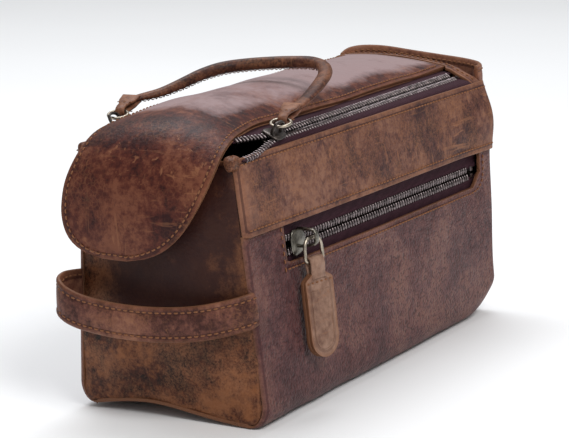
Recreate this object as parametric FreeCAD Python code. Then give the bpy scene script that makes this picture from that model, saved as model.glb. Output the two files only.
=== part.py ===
"""A leather shaving kit bag: two parallel top zippers, a lid with a hanging flap, a zipped side pocket,
a rolled handle tied to both zipper sliders and a grab strap on each end.

Millimetres. X runs along the bag from the flap end (-X) to the far end (+X), the pocket side faces -Y,
+Z is up, and the origin is the centre of the base, on the surface that the bag stands on.
"""

import FreeCAD, Part
import math
import os

from FreeCAD import Matrix, Placement, Vector

# ---- driving dimensions -------------------------------------------------------------------------
LENGTH = 254.0
HALF_DEPTH = 50.0
SIDE_HEIGHT = 123.0
BAND_HEIGHT = 87.5
BAND_OVERLAP = 8.0
SEAM_INSET = 16.0
CORNER_OUT = 3.0
CORNER_UP = 11.0

# How far each wall leans in at the band's lower edge and at its top, at the near and the far end.
LEAN = {
    "front": {"band": (10.1, 4.9), "top": (15.3, 9.4)},
    "back": {"band": (2.0, 2.0), "top": (2.8, 2.8)},
}
OUTWARD = {"front": -1.0, "back": 1.0}

LEATHER = 1.8
TAPE = 0.6
LINING = 0.6
LINING_DEPTH = 6.4
STIFFENER = 1.4

LID_FRONT_Y = -24.5
LID_BACK_Y = 34.0
LID_FRONT_Z = 129.0
LID_TILT = 3.0
LID_NEAR_X = -112.0
LID_FAR_X = 116.0
FLAP_GAP = 1.2
HINGE_GAP = 0.8

CHAIN_HALF = 2.9
TAPE_EDGE = 3.6
TOOTH_INNER = 0.8
TOOTH_LENGTH = 1.3
TOOTH_PITCH = 2.54
TOOTH_HALF_THICK = 1.1

# Each main zipper: the chain's distance out from the centre plane, its height and its slope.
ZIPPER = {
    "front": {"out": 31.5, "up": 126.0, "slope": 24.4, "slider_x": -84.0},
    "back": {"out": 41.0, "up": 127.2, "slope": 33.0, "slider_x": -100.0},
}
CHAIN_NEAR_X = -124.0
CHAIN_FAR_X = 114.0

POCKET_NEAR_X = -94.0
POCKET_FAR_X = 112.0
POCKET_LOW = 70.0
POCKET_HIGH = 84.5
POCKET_CHAIN_Z = 77.2
POCKET_TAPE_DEPTH = 2.6
POCKET_TAPE_WIDTH = 9.5
POCKET_BAG_LOW = 20.0
POCKET_SLIDER_X = -80.5

PLATE_GAP = 0.3
PLATE = 1.0
PLATE_HALF_WIDTH = 4.4
SLIDER_HALF_LENGTH = 6.0
WIRE_R = 0.75
BAIL_THICK = 1.6
BAIL_HALF = 4.3
BAIL_BAR = 1.2
MAIN_PIVOT = 5.4
POCKET_PIVOT = 9.6
POCKET_PIVOT_UP = 2.0

RING_R = 4.6
TAB_AXIS = 8.85
TAB_HOLE_R = 1.5
TAB_EYE_R = 2.6
TAB_EYE_WIDTH = 5.0
TAB_WIDTH = 9.0
TAB_THICK = 3.4
TAB_END = 24.0
HANDLE_R = 2.9
HANDLE_CORE_R = 1.3

STRAP_WIDTH = 16.5
STRAP_THICK = 2.6

PULL_TURN = 12.0
PULL_RING_HALF_WIDTH = 5.8
PULL_RING_HEIGHT = 11.0
PULL_EYE_R = 2.3
PULL_HOLE_R = 1.2
TAG_WIDTH = 19.0
TAG_LENGTH = 45.0
TAG_THICK = 3.0

NEAR_X = -LENGTH / 2
FAR_X = LENGTH / 2
PLATE_IN = TOOTH_HALF_THICK + PLATE_GAP
PLATE_OUT = PLATE_IN + PLATE


# ---- small tools --------------------------------------------------------------------------------
def between(near, far, x):
    """The value at station x of something that runs straight from the near end to the far end."""
    share = (x - NEAR_X) / LENGTH
    return near + (far - near) * share


def inset(path, depth):
    """The path moved by depth to its left, with mitred corners. Points are (out, up)."""
    moved = []
    for i, (out, up) in enumerate(path):
        legs = []
        if i > 0:
            legs.append((out - path[i - 1][0], up - path[i - 1][1]))
        if i < len(path) - 1:
            legs.append((path[i + 1][0] - out, path[i + 1][1] - up))
        normals = [(-b / math.hypot(a, b), a / math.hypot(a, b)) for a, b in legs]
        n_out = sum(n[0] for n in normals) / len(normals)
        n_up = sum(n[1] for n in normals) / len(normals)
        reach = depth / (n_out**2 + n_up**2)
        moved.append((out + n_out * reach, up + n_up * reach))
    return moved


def ribbon(path, low, high):
    """The closed outline of a ply that lies between two depths inside a path."""
    return inset(path, low) + inset(path, high)[::-1]


def face_at(x, outline, side="back"):
    """A flat face in the plane at x, from (out, up) points on one side of the bag."""
    points = [Vector(x, OUTWARD[side] * out, up) for out, up in outline]
    return Part.makePolygon(points + points[:1])


def loft(wires):
    """A closed solid with straight rulings from wire to wire."""
    solid = Part.makeLoft(wires, True, True)
    if solid.Volume < 0:
        solid.reverse()
    return solid


def box(low, high):
    return Part.makeBox(*[b - a for a, b in zip(low, high)], Vector(*low))


def prism(points, direction):
    """A flat outline of 3-D points, pushed along a direction."""
    wire = Part.makePolygon([Vector(*p) for p in points] + [Vector(*points[0])])
    return Part.Face(wire).extrude(Vector(*direction))


def placement(origin, along, across, out):
    """Carries local (x, y, z) onto the three directions, from the origin."""
    columns = (along, across, out, origin)
    rows = [[c[i] for c in columns] for i in range(3)]
    return Placement(Matrix(*rows[0], *rows[1], *rows[2], 0, 0, 0, 1))


def placed(shape, where):
    moved = shape.copy()
    moved.Placement = where.multiply(moved.Placement)
    return moved


def unit(v):
    return Vector(v).normalize()


# ---- the body's section -------------------------------------------------------------------------
def wall_out(side, x, up):
    """How far the wall's outer face stands from the centre plane, at station x and height up."""
    band = HALF_DEPTH - between(*LEAN[side]["band"], x)
    top = HALF_DEPTH - between(*LEAN[side]["top"], x)
    if up <= BAND_HEIGHT:
        share = (up - CORNER_UP) / (BAND_HEIGHT - CORNER_UP)
        return HALF_DEPTH + (band - HALF_DEPTH) * share
    share = (up - BAND_HEIGHT) / (SIDE_HEIGHT - BAND_HEIGHT)
    return band + (top - band) * share


def wall_path(side, x, top):
    """The wall's outer face from its seam under the base, round the lower edge and up to a height."""
    path = [
        (HALF_DEPTH - SEAM_INSET, 0.0),
        (HALF_DEPTH - SEAM_INSET + 5.0, 0.0),
        (HALF_DEPTH - CORNER_OUT, 3.5),
        (HALF_DEPTH, CORNER_UP),
        (wall_out(side, x, BAND_HEIGHT), BAND_HEIGHT),
    ]
    if top > BAND_HEIGHT:
        path.append((wall_out(side, x, top), top))
    return path


def wall_ply(side, near, far, low, high, top):
    """A ply that follows the whole wall at a depth inside its outer face."""
    wires = [face_at(x, ribbon(wall_path(side, x, top), low, high), side) for x in (near, far)]
    return loft(wires)


def upper_ply(side, near, far, depths, heights):
    """A ply on the flat part of the wall between two heights."""
    wires = []
    for x in (near, far):
        path = [(wall_out(side, x, up), up) for up in heights]
        wires.append(face_at(x, ribbon(path, *depths), side))
    return loft(wires)


def end_outline(x, depth, top):
    """The outline of the bag's inside at station x, as (y, z) points."""
    front = inset(wall_path("front", x, top), depth)
    back = inset(wall_path("back", x, top), depth)
    return [(-out, up) for out, up in front] + [(out, up) for out, up in back[::-1]]


def end_panel(x, thickness, depth, outline_top, crown):
    """A flat end panel that fits inside the walls and rises to the crown's points."""
    outline = end_outline(x, depth, outline_top)
    half = len(outline) // 2
    outline = outline[:half] + crown + outline[half:]
    return prism([(x, y, z) for y, z in outline], (thickness, 0, 0))


# ---- main zippers -------------------------------------------------------------------------------
def zipper_frame(side, x=0.0):
    """Local x along the chain, local y across it towards +Y, local z outwards."""
    z = ZIPPER[side]
    slope = math.radians(z["slope"])
    s = OUTWARD[side]
    origin = Vector(x, s * z["out"], z["up"])
    across = Vector(0, math.cos(slope), -s * math.sin(slope))
    out = Vector(0, s * math.sin(slope), math.cos(slope))
    return placement(origin, Vector(1, 0, 0), across, out)


def chain_point(side, to_lid, out):
    """A point beside the chain, as (out, up) in the bag's section."""
    p = zipper_frame(side).multVec(Vector(0, -OUTWARD[side] * to_lid, out))
    return (OUTWARD[side] * p.y, p.z)


def outer_tape(side):
    """Sewn inside the wall's top edge, and bent over to the chain."""
    wires = []
    for x in (CHAIN_NEAR_X, CHAIN_FAR_X):
        path = [
            (wall_out(side, x, SIDE_HEIGHT - 9.0), SIDE_HEIGHT - 9.0),
            (wall_out(side, x, SIDE_HEIGHT - 0.6), SIDE_HEIGHT - 0.6),
            chain_point(side, -TAPE_EDGE, TAPE / 2),
        ]
        wires.append(face_at(x, ribbon(path, 0.0, TAPE), side))
    return loft(wires)


def inner_tape(side):
    """Runs from the chain up under the lid's edge."""
    stations = [s for s in LID_STATIONS if CHAIN_NEAR_X < s["x"] < LID_FAR_X + 1.0]
    wires = []
    for station in stations:
        x = max(min(station["x"], CHAIN_FAR_X), LID_NEAR_X + 0.5)
        edge = lid_point(station, -1.0 if side == "front" else 1.0, -0.1)
        under = lid_point(station, -0.75 if side == "front" else 0.75, -0.1)
        s = OUTWARD[side]
        path = [chain_point(side, TAPE_EDGE, TAPE / 2), (s * edge.y, edge.z), (s * under.y, under.z)]
        wires.append(face_at(x, ribbon(path, 0.0, TAPE), side))
    return loft(wires)


def tooth_row(near, far, sign, frame):
    """One row of separate metal teeth beside the chain's middle line."""
    count = int((far - near) / TOOTH_PITCH)
    low, high = sorted((sign * TOOTH_INNER, sign * CHAIN_HALF))
    shift = 0.0 if sign > 0 else TOOTH_PITCH / 2
    teeth = []
    for i in range(count):
        x = near + shift + i * TOOTH_PITCH
        tooth = box((x, low, -TOOTH_HALF_THICK), (x + TOOTH_LENGTH, high, TOOTH_HALF_THICK))
        teeth.append(placed(tooth, frame))
    return Part.makeCompound(teeth)


def end_stop(x, sides, frame):
    """A small metal stop clamped beyond the last tooth of each row."""
    stops = []
    for sign in sides:
        low, high = sorted((sign * TOOTH_INNER, sign * CHAIN_HALF))
        stop = box((x, low, -TOOTH_HALF_THICK - 0.2), (x + 3.0, high, TOOTH_HALF_THICK + 0.2))
        stops.append(placed(stop, frame))
    return Part.makeCompound(stops)


# ---- sliders and their rings --------------------------------------------------------------------
def plate(low, high, inner_edge):
    """A slider plate, narrower at the closed end of the chain."""
    w = PLATE_HALF_WIDTH
    nose = SLIDER_HALF_LENGTH
    edge = [(-nose, inner_edge), (nose, max(inner_edge, -w + 1.0))]
    edge += [(nose, w - 1.0), (nose - 4.0, w), (-nose, w)]
    if inner_edge < 0:
        edge.insert(1, (nose - 4.0, -w))
    return prism([(x, y, low) for x, y in edge], (0, 0, high - low))


def bail(pivot, along):
    """The arch on a slider that a ring's wire runs through, standing along x or along y."""
    top = pivot + 1.8
    half_thick = BAIL_THICK / 2
    arch = box((-BAIL_HALF, -half_thick, PLATE_OUT), (BAIL_HALF, half_thick, top + BAIL_BAR))
    hole = BAIL_HALF - BAIL_BAR
    arch = arch.cut(box((-hole, -2.0, PLATE_OUT), (hole, 2.0, top)))
    if along == "y":
        arch.rotate(Vector(0, 0, 0), Vector(0, 0, 1), 90)
        arch.translate(Vector(0, POCKET_PIVOT_UP, 0))
    return arch


def slider(pivot, along, both_sides):
    """Two plates joined by a post between the rows, with a bail on top, in the chain's own frame."""
    w = PLATE_HALF_WIDTH
    body = plate(PLATE_IN, PLATE_OUT, -w)
    if along == "y":
        body = body.fuse(box((-2.0, -w, PLATE_IN), (2.0, POCKET_PIVOT_UP + BAIL_HALF, PLATE_OUT)))
    body = body.fuse(plate(-PLATE_OUT, -PLATE_IN, -w if both_sides else 0.0))
    body = body.fuse(box((-3.0, -0.4, -PLATE_IN - 0.2), (3.0, 0.4, PLATE_IN + 0.2)))
    for sign in (-1, 1):
        low, high = sorted((sign * (w - 0.7), sign * w))
        body = body.fuse(box((-SLIDER_HALF_LENGTH, low, 0.6), (SLIDER_HALF_LENGTH - 4.0, high, PLATE_OUT)))
    body = body.fuse(bail(pivot, along))
    return body.removeSplitter()


def pivot_point(side):
    """Where the ring turns in a main slider's bail."""
    return zipper_frame(side, ZIPPER[side]["slider_x"]).multVec(Vector(0, 0, MAIN_PIVOT))


def handle_frame():
    """Local x from the front slider's ring to the back one's, local y up along the leaning handle."""
    front = pivot_point("front")
    across = unit(pivot_point("back") - front)
    lean = Vector(0.95, 0.19, 0.237)
    along = unit(lean - across * lean.dot(across))
    return placement(front, across, along, across.cross(along)), (pivot_point("back") - front).Length


def ring(x, frame):
    """A round wire link that joins a slider's bail to a handle tab."""
    link = Part.makeTorus(RING_R, WIRE_R, Vector(x, RING_R, 0), Vector(0, 0, 1))
    return placed(link, frame)


# ---- the handle ---------------------------------------------------------------------------------
def rounded_path(points, radii):
    """Straight runs joined by tangent arcs, in the local x-y plane."""
    edges = []
    start = Vector(*points[0], 0)
    for i in range(1, len(points) - 1):
        corner = Vector(*points[i], 0)
        back = unit(Vector(*points[i - 1], 0) - corner)
        ahead = unit(Vector(*points[i + 1], 0) - corner)
        half = back.getAngle(ahead) / 2
        reach = radii[i - 1] / math.tan(half)
        middle = unit(back + ahead)
        into, out = corner + back * reach, corner + ahead * reach
        centre = corner + middle * (radii[i - 1] / math.sin(half))
        edges.append(Part.LineSegment(start, into).toShape())
        edges.append(Part.Arc(into, centre - middle * radii[i - 1], out).toShape())
        start = out
    edges.append(Part.LineSegment(start, Vector(*points[-1], 0)).toShape())
    return Part.Wire(edges)


def tube(points, radii, outer, inner):
    """A round bar along a rounded path, hollow if inner is above zero."""
    path = rounded_path(points, radii)
    start, ahead = Vector(*points[0], 0), Vector(*points[1], 0)
    rings = [Part.Wire(Part.makeCircle(r, start, ahead - start)) for r in (outer, inner) if r > 0]
    solids = [path.makePipeShell([r], True, True) for r in rings]
    return solids[0] if len(solids) == 1 else solids[0].cut(solids[1])


def handle_tab(x):
    """The folded leather end of the handle, with an eye round the ring's wire."""
    half = TAB_EYE_WIDTH / 2
    axis = Vector(1, 0, 0)
    centre = Vector(x - half, TAB_AXIS, 0)
    eye = Part.makeCylinder(TAB_EYE_R, TAB_EYE_WIDTH, centre, axis)
    neck = box((x - half, TAB_AXIS, -TAB_THICK / 2), (x + half, TAB_AXIS + 5.0, TAB_THICK / 2))
    side = TAB_WIDTH / 2
    flat = box((x - side, TAB_AXIS + 4.0, -TAB_THICK / 2), (x + side, TAB_END, TAB_THICK / 2))
    hole = Part.makeCylinder(TAB_HOLE_R, TAB_EYE_WIDTH + 2.0, centre - axis, axis)
    return eye.fuse(neck).fuse(flat).cut(hole).removeSplitter()


# ---- lid and flap -------------------------------------------------------------------------------
# Stations along the lid and over the near end. Each one has the middle line's place and direction of
# travel, where the two edges lie, how much higher the back edge is, and how far the middle stands proud.
def station(x, z, turn, y, tilt, crown):
    return {"x": x, "z": z, "turn": turn, "y": y, "tilt": tilt, "crown": crown}


LID_Y = (LID_FRONT_Y, LID_BACK_Y)
LID_STATIONS = [
    station(LID_FAR_X, LID_FRONT_Z, 180, LID_Y, LID_TILT, 2.0),
    station(95.0, LID_FRONT_Z, 180, LID_Y, LID_TILT, 3.6),
    station(50.0, LID_FRONT_Z, 180, LID_Y, LID_TILT, 6.0),
    station(-40.0, LID_FRONT_Z, 180, LID_Y, LID_TILT, 7.0),
    station(-80.0, LID_FRONT_Z, 180, (-23.0, LID_BACK_Y), LID_TILT, 7.0),
    station(LID_NEAR_X, LID_FRONT_Z, 180, (-25.5, 35.0), LID_TILT, 6.5),
]
FLAP_STATIONS = [
    station(LID_NEAR_X - FLAP_GAP, LID_FRONT_Z, 180, (-25.6, 35.0), LID_TILT, 6.5),
    station(-124.0, 126.5, 205, (-27.5, 38.0), 2.5, 6.0),
    station(-132.5, 119.0, 230, (-29.0, 42.0), 2.0, 5.0),
    station(-137.5, 109.0, 252, (-26.5, 46.0), 1.0, 4.0),
    station(-139.8, 98.0, 264, (-22.0, 47.5), 0.0, 3.0),
    station(-140.4, 88.0, 270, (-14.5, 45.5), 0.0, 2.0),
    station(-140.4, 80.5, 270, (-4.0, 38.0), 0.0, 1.2),
    station(-140.2, 76.0, 271, (7.0, 27.0), 0.0, 0.6),
]
ACROSS = (-1.0, -0.75, -0.4, 0.0, 0.4, 0.75, 1.0)


def lid_point(station, share, lift):
    """A point of a station, at a share of the half width from the middle and a lift off the underside."""
    turn = math.radians(station["turn"])
    normal = (math.sin(turn), -math.cos(turn))
    low, high = station["y"]
    y = (low + high) / 2 + share * (high - low) / 2
    proud = station["tilt"] * (share + 1) / 2 + station["crown"] * (1 - share**2) + lift
    return Vector(station["x"] + normal[0] * proud, y, station["z"] + normal[1] * proud)


def lid_sheet(stations, low, high, reach=1.0):
    """A ply that follows the stations between two lifts, over a share of their width."""
    wires = []
    for station in stations:
        under = [lid_point(station, share * reach, low) for share in ACROSS]
        over = [lid_point(station, share * reach, high) for share in ACROSS[::-1]]
        wires.append(Part.makePolygon(under + over + under[:1]))
    return loft(wires)


def far_crown(rise):
    """The far end's top line under the lid's height, as (y, z) points, with the middle raised."""
    middle = (LID_FRONT_Y + LID_BACK_Y) / 2
    back = LID_FRONT_Z + LID_TILT
    return [(LID_FRONT_Y, LID_FRONT_Z), (middle, back + rise), (LID_BACK_Y, back)]


def far_top_strip():
    """The leather strip that closes the top beyond the ends of both zippers."""
    wires = []
    for x in (LID_FAR_X + HINGE_GAP, FAR_X):
        front = wall_out("front", x, SIDE_HEIGHT)
        back = wall_out("back", x, SIDE_HEIGHT)
        line = [(-front, SIDE_HEIGHT), *far_crown(0.3), (back, SIDE_HEIGHT)]
        wires.append(face_at(x, ribbon(line, 0.0, LEATHER), "back"))
    return loft(wires)


# ---- straps, pocket and pull --------------------------------------------------------------------
def strap(stations):
    """A flat strap through stations of (x, y, middle height), sewn to the bag at both ends."""
    wires = []
    for i, (x, y, up) in enumerate(stations):
        before = stations[max(i - 1, 0)]
        after = stations[min(i + 1, len(stations) - 1)]
        along = unit(Vector(after[0] - before[0], after[1] - before[1], 0))
        side = Vector(-along.y, along.x, 0) * (STRAP_THICK / 2)
        centre = Vector(x, y, up)
        half = Vector(0, 0, STRAP_WIDTH / 2)
        corners = [centre + side - half, centre + side + half, centre - side + half, centre - side - half]
        wires.append(Part.makePolygon(corners + corners[:1]))
    bag = box((NEAR_X, -60.0, 0.0), (FAR_X, 60.0, 140.0))
    return loft(wires).cut(bag)


NEAR_STRAP = [
    (NEAR_X + 1.0, 48.6, 57.0), (-135.5, 50.3, 57.5), (-141.5, 49.6, 56.5), (-145.6, 45.0, 53.5),
    (-147.0, 34.0, 50.5), (-146.8, 16.0, 48.6), (-144.8, -4.0, 48.4), (-141.0, -22.0, 50.0),
    (-135.5, -36.0, 53.0), (NEAR_X + 1.0, -43.4, 56.0),
]
FAR_STRAP = [
    (FAR_X - 1.0, 40.0, 125.0), (133.5, 40.4, 126.0), (138.5, 36.5, 127.0), (142.0, 27.0, 127.0),
    (143.8, 10.0, 125.5), (143.8, -8.0, 124.0), (142.0, -22.0, 123.3), (138.5, -32.0, 123.0),
    (133.5, -36.6, 122.8), (FAR_X - 1.0, -37.2, 122.6),
]


def pocket_frame(x=0.0):
    """Local x along the pocket's chain, local y up the wall, local z outwards."""
    ends = []
    for station in (POCKET_NEAR_X, POCKET_FAR_X):
        out = wall_out("front", station, POCKET_CHAIN_Z) - POCKET_TAPE_DEPTH
        ends.append(Vector(station, -out, POCKET_CHAIN_Z))
    along = unit(ends[1] - ends[0])
    lower = Vector(0, -wall_out("front", 0, POCKET_LOW), POCKET_LOW)
    upper = Vector(0, -wall_out("front", 0, POCKET_HIGH), POCKET_HIGH)
    out = unit(along.cross(upper - lower))
    middle = ends[0] + along * ((x - ends[0].x) / along.x)
    return placement(middle, along, out.cross(along), out)


def pocket_cutter():
    """The slot in the front panel, square at the near end and rounded at the far one."""
    slot = box((POCKET_NEAR_X, -60.0, POCKET_LOW), (POCKET_FAR_X, -30.0, POCKET_HIGH))
    ends = [e for e in slot.Edges if e.BoundBox.XMin > POCKET_FAR_X - 0.1 and e.BoundBox.YLength > 20]
    return slot.makeFillet(5.0, ends)


def pocket_tape(sign):
    """One half of the pocket zipper's tape, flat behind the slot."""
    low, high = sorted((sign * CHAIN_HALF, sign * POCKET_TAPE_WIDTH))
    strip = box((POCKET_NEAR_X - 6.0, low, -TAPE / 2), (POCKET_FAR_X + 6.0, high, TAPE / 2))
    return placed(strip, pocket_frame())


def pull_frame():
    """Local x along the pull's turning axis, local y down the wall, local z outwards."""
    base = pocket_frame(POCKET_SLIDER_X)
    turn = math.radians(PULL_TURN)
    lean = wall_out("front", POCKET_SLIDER_X, CORNER_UP) - wall_out("front", POCKET_SLIDER_X, BAND_HEIGHT)
    down = unit(Vector(0, -lean, CORNER_UP - BAND_HEIGHT))
    side = base.Rotation.multVec(Vector(-math.cos(turn), 0, -math.sin(turn)))
    out = unit(side.cross(down))
    origin = base.multVec(Vector(0, POCKET_PIVOT_UP, POCKET_PIVOT))
    return placement(origin, down.cross(out), down, out)


def pull_ring():
    """A long wire loop from the slider's bail to the tag."""
    w, h = PULL_RING_HALF_WIDTH, PULL_RING_HEIGHT
    points = [(0, 0), (w, 0), (w, h), (-w, h), (-w, 0), (0, 0)]
    path = rounded_path(points, [3.0, 3.0, 3.0, 3.0])
    section = Part.Wire(Part.makeCircle(WIRE_R, Vector(0, 0, 0), Vector(1, 0, 0)))
    return placed(path.makePipeShell([section], True, False), pull_frame())


def pull_tag():
    """The leather tag, folded round the loop's lower bar and sewn across below it."""
    half, w = TAG_THICK / 2, TAG_WIDTH / 2
    top = PULL_RING_HEIGHT
    axis = Vector(1, 0, 0)
    eye = Part.makeCylinder(PULL_EYE_R, 3.6, Vector(-1.8, top, 0), axis)
    neck = box((-1.8, top, -half), (1.8, top + 6.0, half))
    outline = [(-4.0, top + 5.0), (4.0, top + 5.0), (w, top + 8.5), (w, top + TAG_LENGTH - w)]
    outline += [(w * math.cos(a), top + TAG_LENGTH - w + w * math.sin(a)) for a in
                [math.radians(18 * i) for i in range(1, 10)]]
    outline += [(-w, top + TAG_LENGTH - w), (-w, top + 8.5)]
    body = prism([(x, y, -half) for x, y in outline], (0, 0, TAG_THICK))
    hole = Part.makeCylinder(PULL_HOLE_R, 6.0, Vector(-3.0, top, 0), axis)
    return placed(eye.fuse(neck).fuse(body).cut(hole).removeSplitter(), pull_frame())


# ---- every node ---------------------------------------------------------------------------------
def walls():
    nodes = {}
    seam = HALF_DEPTH - SEAM_INSET
    nodes["base_panel"] = box((NEAR_X, -seam, 0.0), (FAR_X, seam, LEATHER))
    low = LEATHER + 0.1
    nodes["base_stiffener"] = box((NEAR_X + 4.0, -seam, low), (FAR_X - 4.0, seam, low + STIFFENER))
    top = BAND_HEIGHT + BAND_OVERLAP
    for side in ("front", "back"):
        panel = wall_ply(side, NEAR_X, FAR_X, 0.0, LEATHER, top)
        nodes[side + "_lower_panel"] = panel
        nodes[side + "_yoke"] = upper_ply(side, NEAR_X, FAR_X, (-LEATHER, 0.0), (BAND_HEIGHT, SIDE_HEIGHT))
        depths = (LINING_DEPTH, LINING_DEPTH + LINING)
        nodes[side + "_lining"] = wall_ply(side, NEAR_X + 3.0, FAR_X - 3.0, *depths, SIDE_HEIGHT - 3.0)
    nodes["front_lower_panel"] = nodes["front_lower_panel"].cut(pocket_cutter())
    nodes["base_lining"] = box(
        (NEAR_X + 3.0, -seam, LINING_DEPTH), (FAR_X - 3.0, seam, LINING_DEPTH + LINING))
    return nodes


def ends():
    near_crown = [(-20.0, 122.0), (30.0, 122.5)]
    under_strip = [(y, z - 0.3) for y, z in far_crown(0.3)]
    nodes = {
        "near_end_panel": end_panel(NEAR_X, LEATHER, LEATHER, 120.5, near_crown),
        "far_end_panel": end_panel(FAR_X - LEATHER, LEATHER, LEATHER, SIDE_HEIGHT - 0.4, under_strip),
        "far_top_strip": far_top_strip(),
    }
    depth = LINING_DEPTH + LINING
    near_lining = end_panel(NEAR_X + LEATHER + 0.1, LINING, depth, 118.0, [])
    far_lining = end_panel(FAR_X - LEATHER - 0.1 - LINING, LINING, depth, 118.0, [])
    nodes["near_end_lining"] = near_lining
    nodes["far_end_lining"] = far_lining
    nodes["near_grab_strap"] = strap(NEAR_STRAP)
    nodes["far_grab_strap"] = strap(FAR_STRAP)
    return nodes


def main_zippers():
    nodes = {}
    for side in ("front", "back"):
        frame = zipper_frame(side)
        nodes[side + "_outer_tape"] = outer_tape(side)
        nodes[side + "_inner_tape"] = inner_tape(side)
        wall = int(OUTWARD[side])
        nodes[side + "_outer_teeth"] = tooth_row(CHAIN_NEAR_X + 2.0, CHAIN_FAR_X - 4.0, wall, frame)
        nodes[side + "_inner_teeth"] = tooth_row(LID_NEAR_X + 1.0, CHAIN_FAR_X - 4.0, -wall, frame)
        nodes[side + "_far_stop"] = end_stop(CHAIN_FAR_X - 3.0, (wall,), frame)
        x = ZIPPER[side]["slider_x"]
        nodes[side + "_slider_body"] = placed_slider(side, x)
    return nodes


def placed_slider(side, x):
    """A main slider in its place. Its lower plate is on the lid's side only, so that the lid can lift."""
    body = slider(MAIN_PIVOT, "x", False)
    if side == "back":
        body = body.mirror(Vector(0, 0, 0), Vector(0, 1, 0))
    return placed(body, zipper_frame(side, x))


def handle():
    frame, span = handle_frame()
    points = [(0.0, TAB_END), (-5.0, 50.0), (-5.0, 80.0), (34.0, 79.0), (60.0, 55.0), (span, TAB_END)]
    radii = [40.0, 9.0, 40.0, 40.0]
    tabs = [placed(handle_tab(x), frame) for x in (0.0, span)]
    return {
        "front_ring": ring(0.0, frame),
        "back_ring": ring(span, frame),
        "front_handle_tab": tabs[0],
        "back_handle_tab": tabs[1],
        "handle_roll": placed(tube(points, radii, HANDLE_R, HANDLE_CORE_R), frame).cut(tabs),
        "handle_core": placed(tube(points, radii, HANDLE_CORE_R, 0), frame).cut(tabs),
    }


def lid_and_flap():
    return {
        "lid_leather": lid_sheet(LID_STATIONS, 0.0, LEATHER),
        "lid_lining": lid_sheet(LID_STATIONS[1:], -1.5, -0.9, 0.93),
        "flap_leather": lid_sheet(FLAP_STATIONS, 0.0, LEATHER),
        "flap_lining": lid_sheet(FLAP_STATIONS, -0.9, -0.1, 0.97),
    }


def pocket():
    frame = pocket_frame()
    nodes = {
        "pocket_upper_tape": pocket_tape(1),
        "pocket_lower_tape": pocket_tape(-1),
        "pocket_upper_teeth": tooth_row(POCKET_NEAR_X + 3.0, POCKET_FAR_X - 8.0, 1, frame),
        "pocket_lower_teeth": tooth_row(POCKET_NEAR_X + 3.0, POCKET_FAR_X - 8.0, -1, frame),
        "pocket_stops": end_stop(POCKET_FAR_X - 6.0, (-1, 1), frame),
    }
    near, far = POCKET_NEAR_X - 4.0, POCKET_FAR_X + 4.0
    lip = POCKET_CHAIN_Z - POCKET_TAPE_WIDTH - 0.6
    nodes["pocket_front_ply"] = upper_ply("front", near, far, (2.2, 2.7), (POCKET_BAG_LOW, lip))
    nodes["pocket_back_ply"] = upper_ply("front", near, far, (5.6, 6.0), (POCKET_BAG_LOW, BAND_HEIGHT))
    nodes["pocket_slider_body"] = placed(slider(POCKET_PIVOT, "y", True), pocket_frame(POCKET_SLIDER_X))
    nodes["pocket_pull_ring"] = pull_ring()
    nodes["pocket_pull_tag"] = pull_tag()
    return nodes


def main():
    nodes = {}
    for group in (walls, ends, main_zippers, handle, lid_and_flap, pocket):
        nodes.update(group())
    os.makedirs("parts", exist_ok=True)
    for name, shape in sorted(nodes.items()):
        bounds = shape.BoundBox
        shape.exportStep("parts/" + name + ".step")
        print(f"{name:22s} valid {shape.isValid()} solids {len(shape.Solids):3d} volume {shape.Volume:10.1f}"
              f"  x {bounds.XMin:7.1f} {bounds.XMax:7.1f}  y {bounds.YMin:6.1f} {bounds.YMax:6.1f}"
              f"  z {bounds.ZMin:6.1f} {bounds.ZMax:6.1f}")


main()
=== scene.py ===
"""Looks of a leather shaving kit bag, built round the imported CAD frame.

Lengths here are millimetres and become metres when a mesh is made. X runs along the bag from the flap end to
the far end, the pocket side faces -Y, and Z is up.
"""

import math

import bpy
import numpy as np
from mathutils import Matrix, Vector, noise


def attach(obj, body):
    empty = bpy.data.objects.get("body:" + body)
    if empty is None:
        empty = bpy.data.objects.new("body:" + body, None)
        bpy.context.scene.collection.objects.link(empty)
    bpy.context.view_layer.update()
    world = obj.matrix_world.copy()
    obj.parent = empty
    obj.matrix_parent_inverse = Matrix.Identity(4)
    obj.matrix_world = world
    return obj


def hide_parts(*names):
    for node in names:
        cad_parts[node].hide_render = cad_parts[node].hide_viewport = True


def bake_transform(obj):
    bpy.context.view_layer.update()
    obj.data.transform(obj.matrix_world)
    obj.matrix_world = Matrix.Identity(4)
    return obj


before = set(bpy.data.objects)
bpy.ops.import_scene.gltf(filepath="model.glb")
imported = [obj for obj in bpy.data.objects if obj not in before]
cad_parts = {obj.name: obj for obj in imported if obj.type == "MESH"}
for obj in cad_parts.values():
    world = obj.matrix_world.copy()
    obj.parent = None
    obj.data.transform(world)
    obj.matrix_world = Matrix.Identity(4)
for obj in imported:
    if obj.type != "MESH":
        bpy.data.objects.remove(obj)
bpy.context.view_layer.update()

MM = 0.001
NEAR_X, FAR_X = -127.0, 127.0
HALF_DEPTH = 50.0
POCKET_NEAR_X, POCKET_FAR_X = -94.0, 112.0
SIDE_HEIGHT = 123.0
BAND_HEIGHT = 87.5
LEATHER = 1.8
CORNER_UP = 11.0
CORNER_OUT = 42.0
SEAM_OUT = 34.0
LEAN = {"front": ((10.1, 4.9), (15.3, 9.4)), "back": ((2.0, 2.0), (2.8, 2.8))}
OUTWARD = {"front": -1.0, "back": 1.0}
LINING_INSET = 6.4
LINING = 0.5
BOARD = 1.3
TAPE = 0.6
BACKING_PLY = 1.0
TAG_PLY = 1.45
FAR_TOP_FOOT = 119.0
STRAP_HALF_WIDTH, STRAP_HALF_THICK = 8.25, 1.3
RING_R = 4.6
WIRE_R = 0.75
PULL_WIRE_R = 0.85
STITCH_IN = 2.6
TOOTH_PITCH = 2.54
MAIN_PIVOT = 5.4
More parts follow.
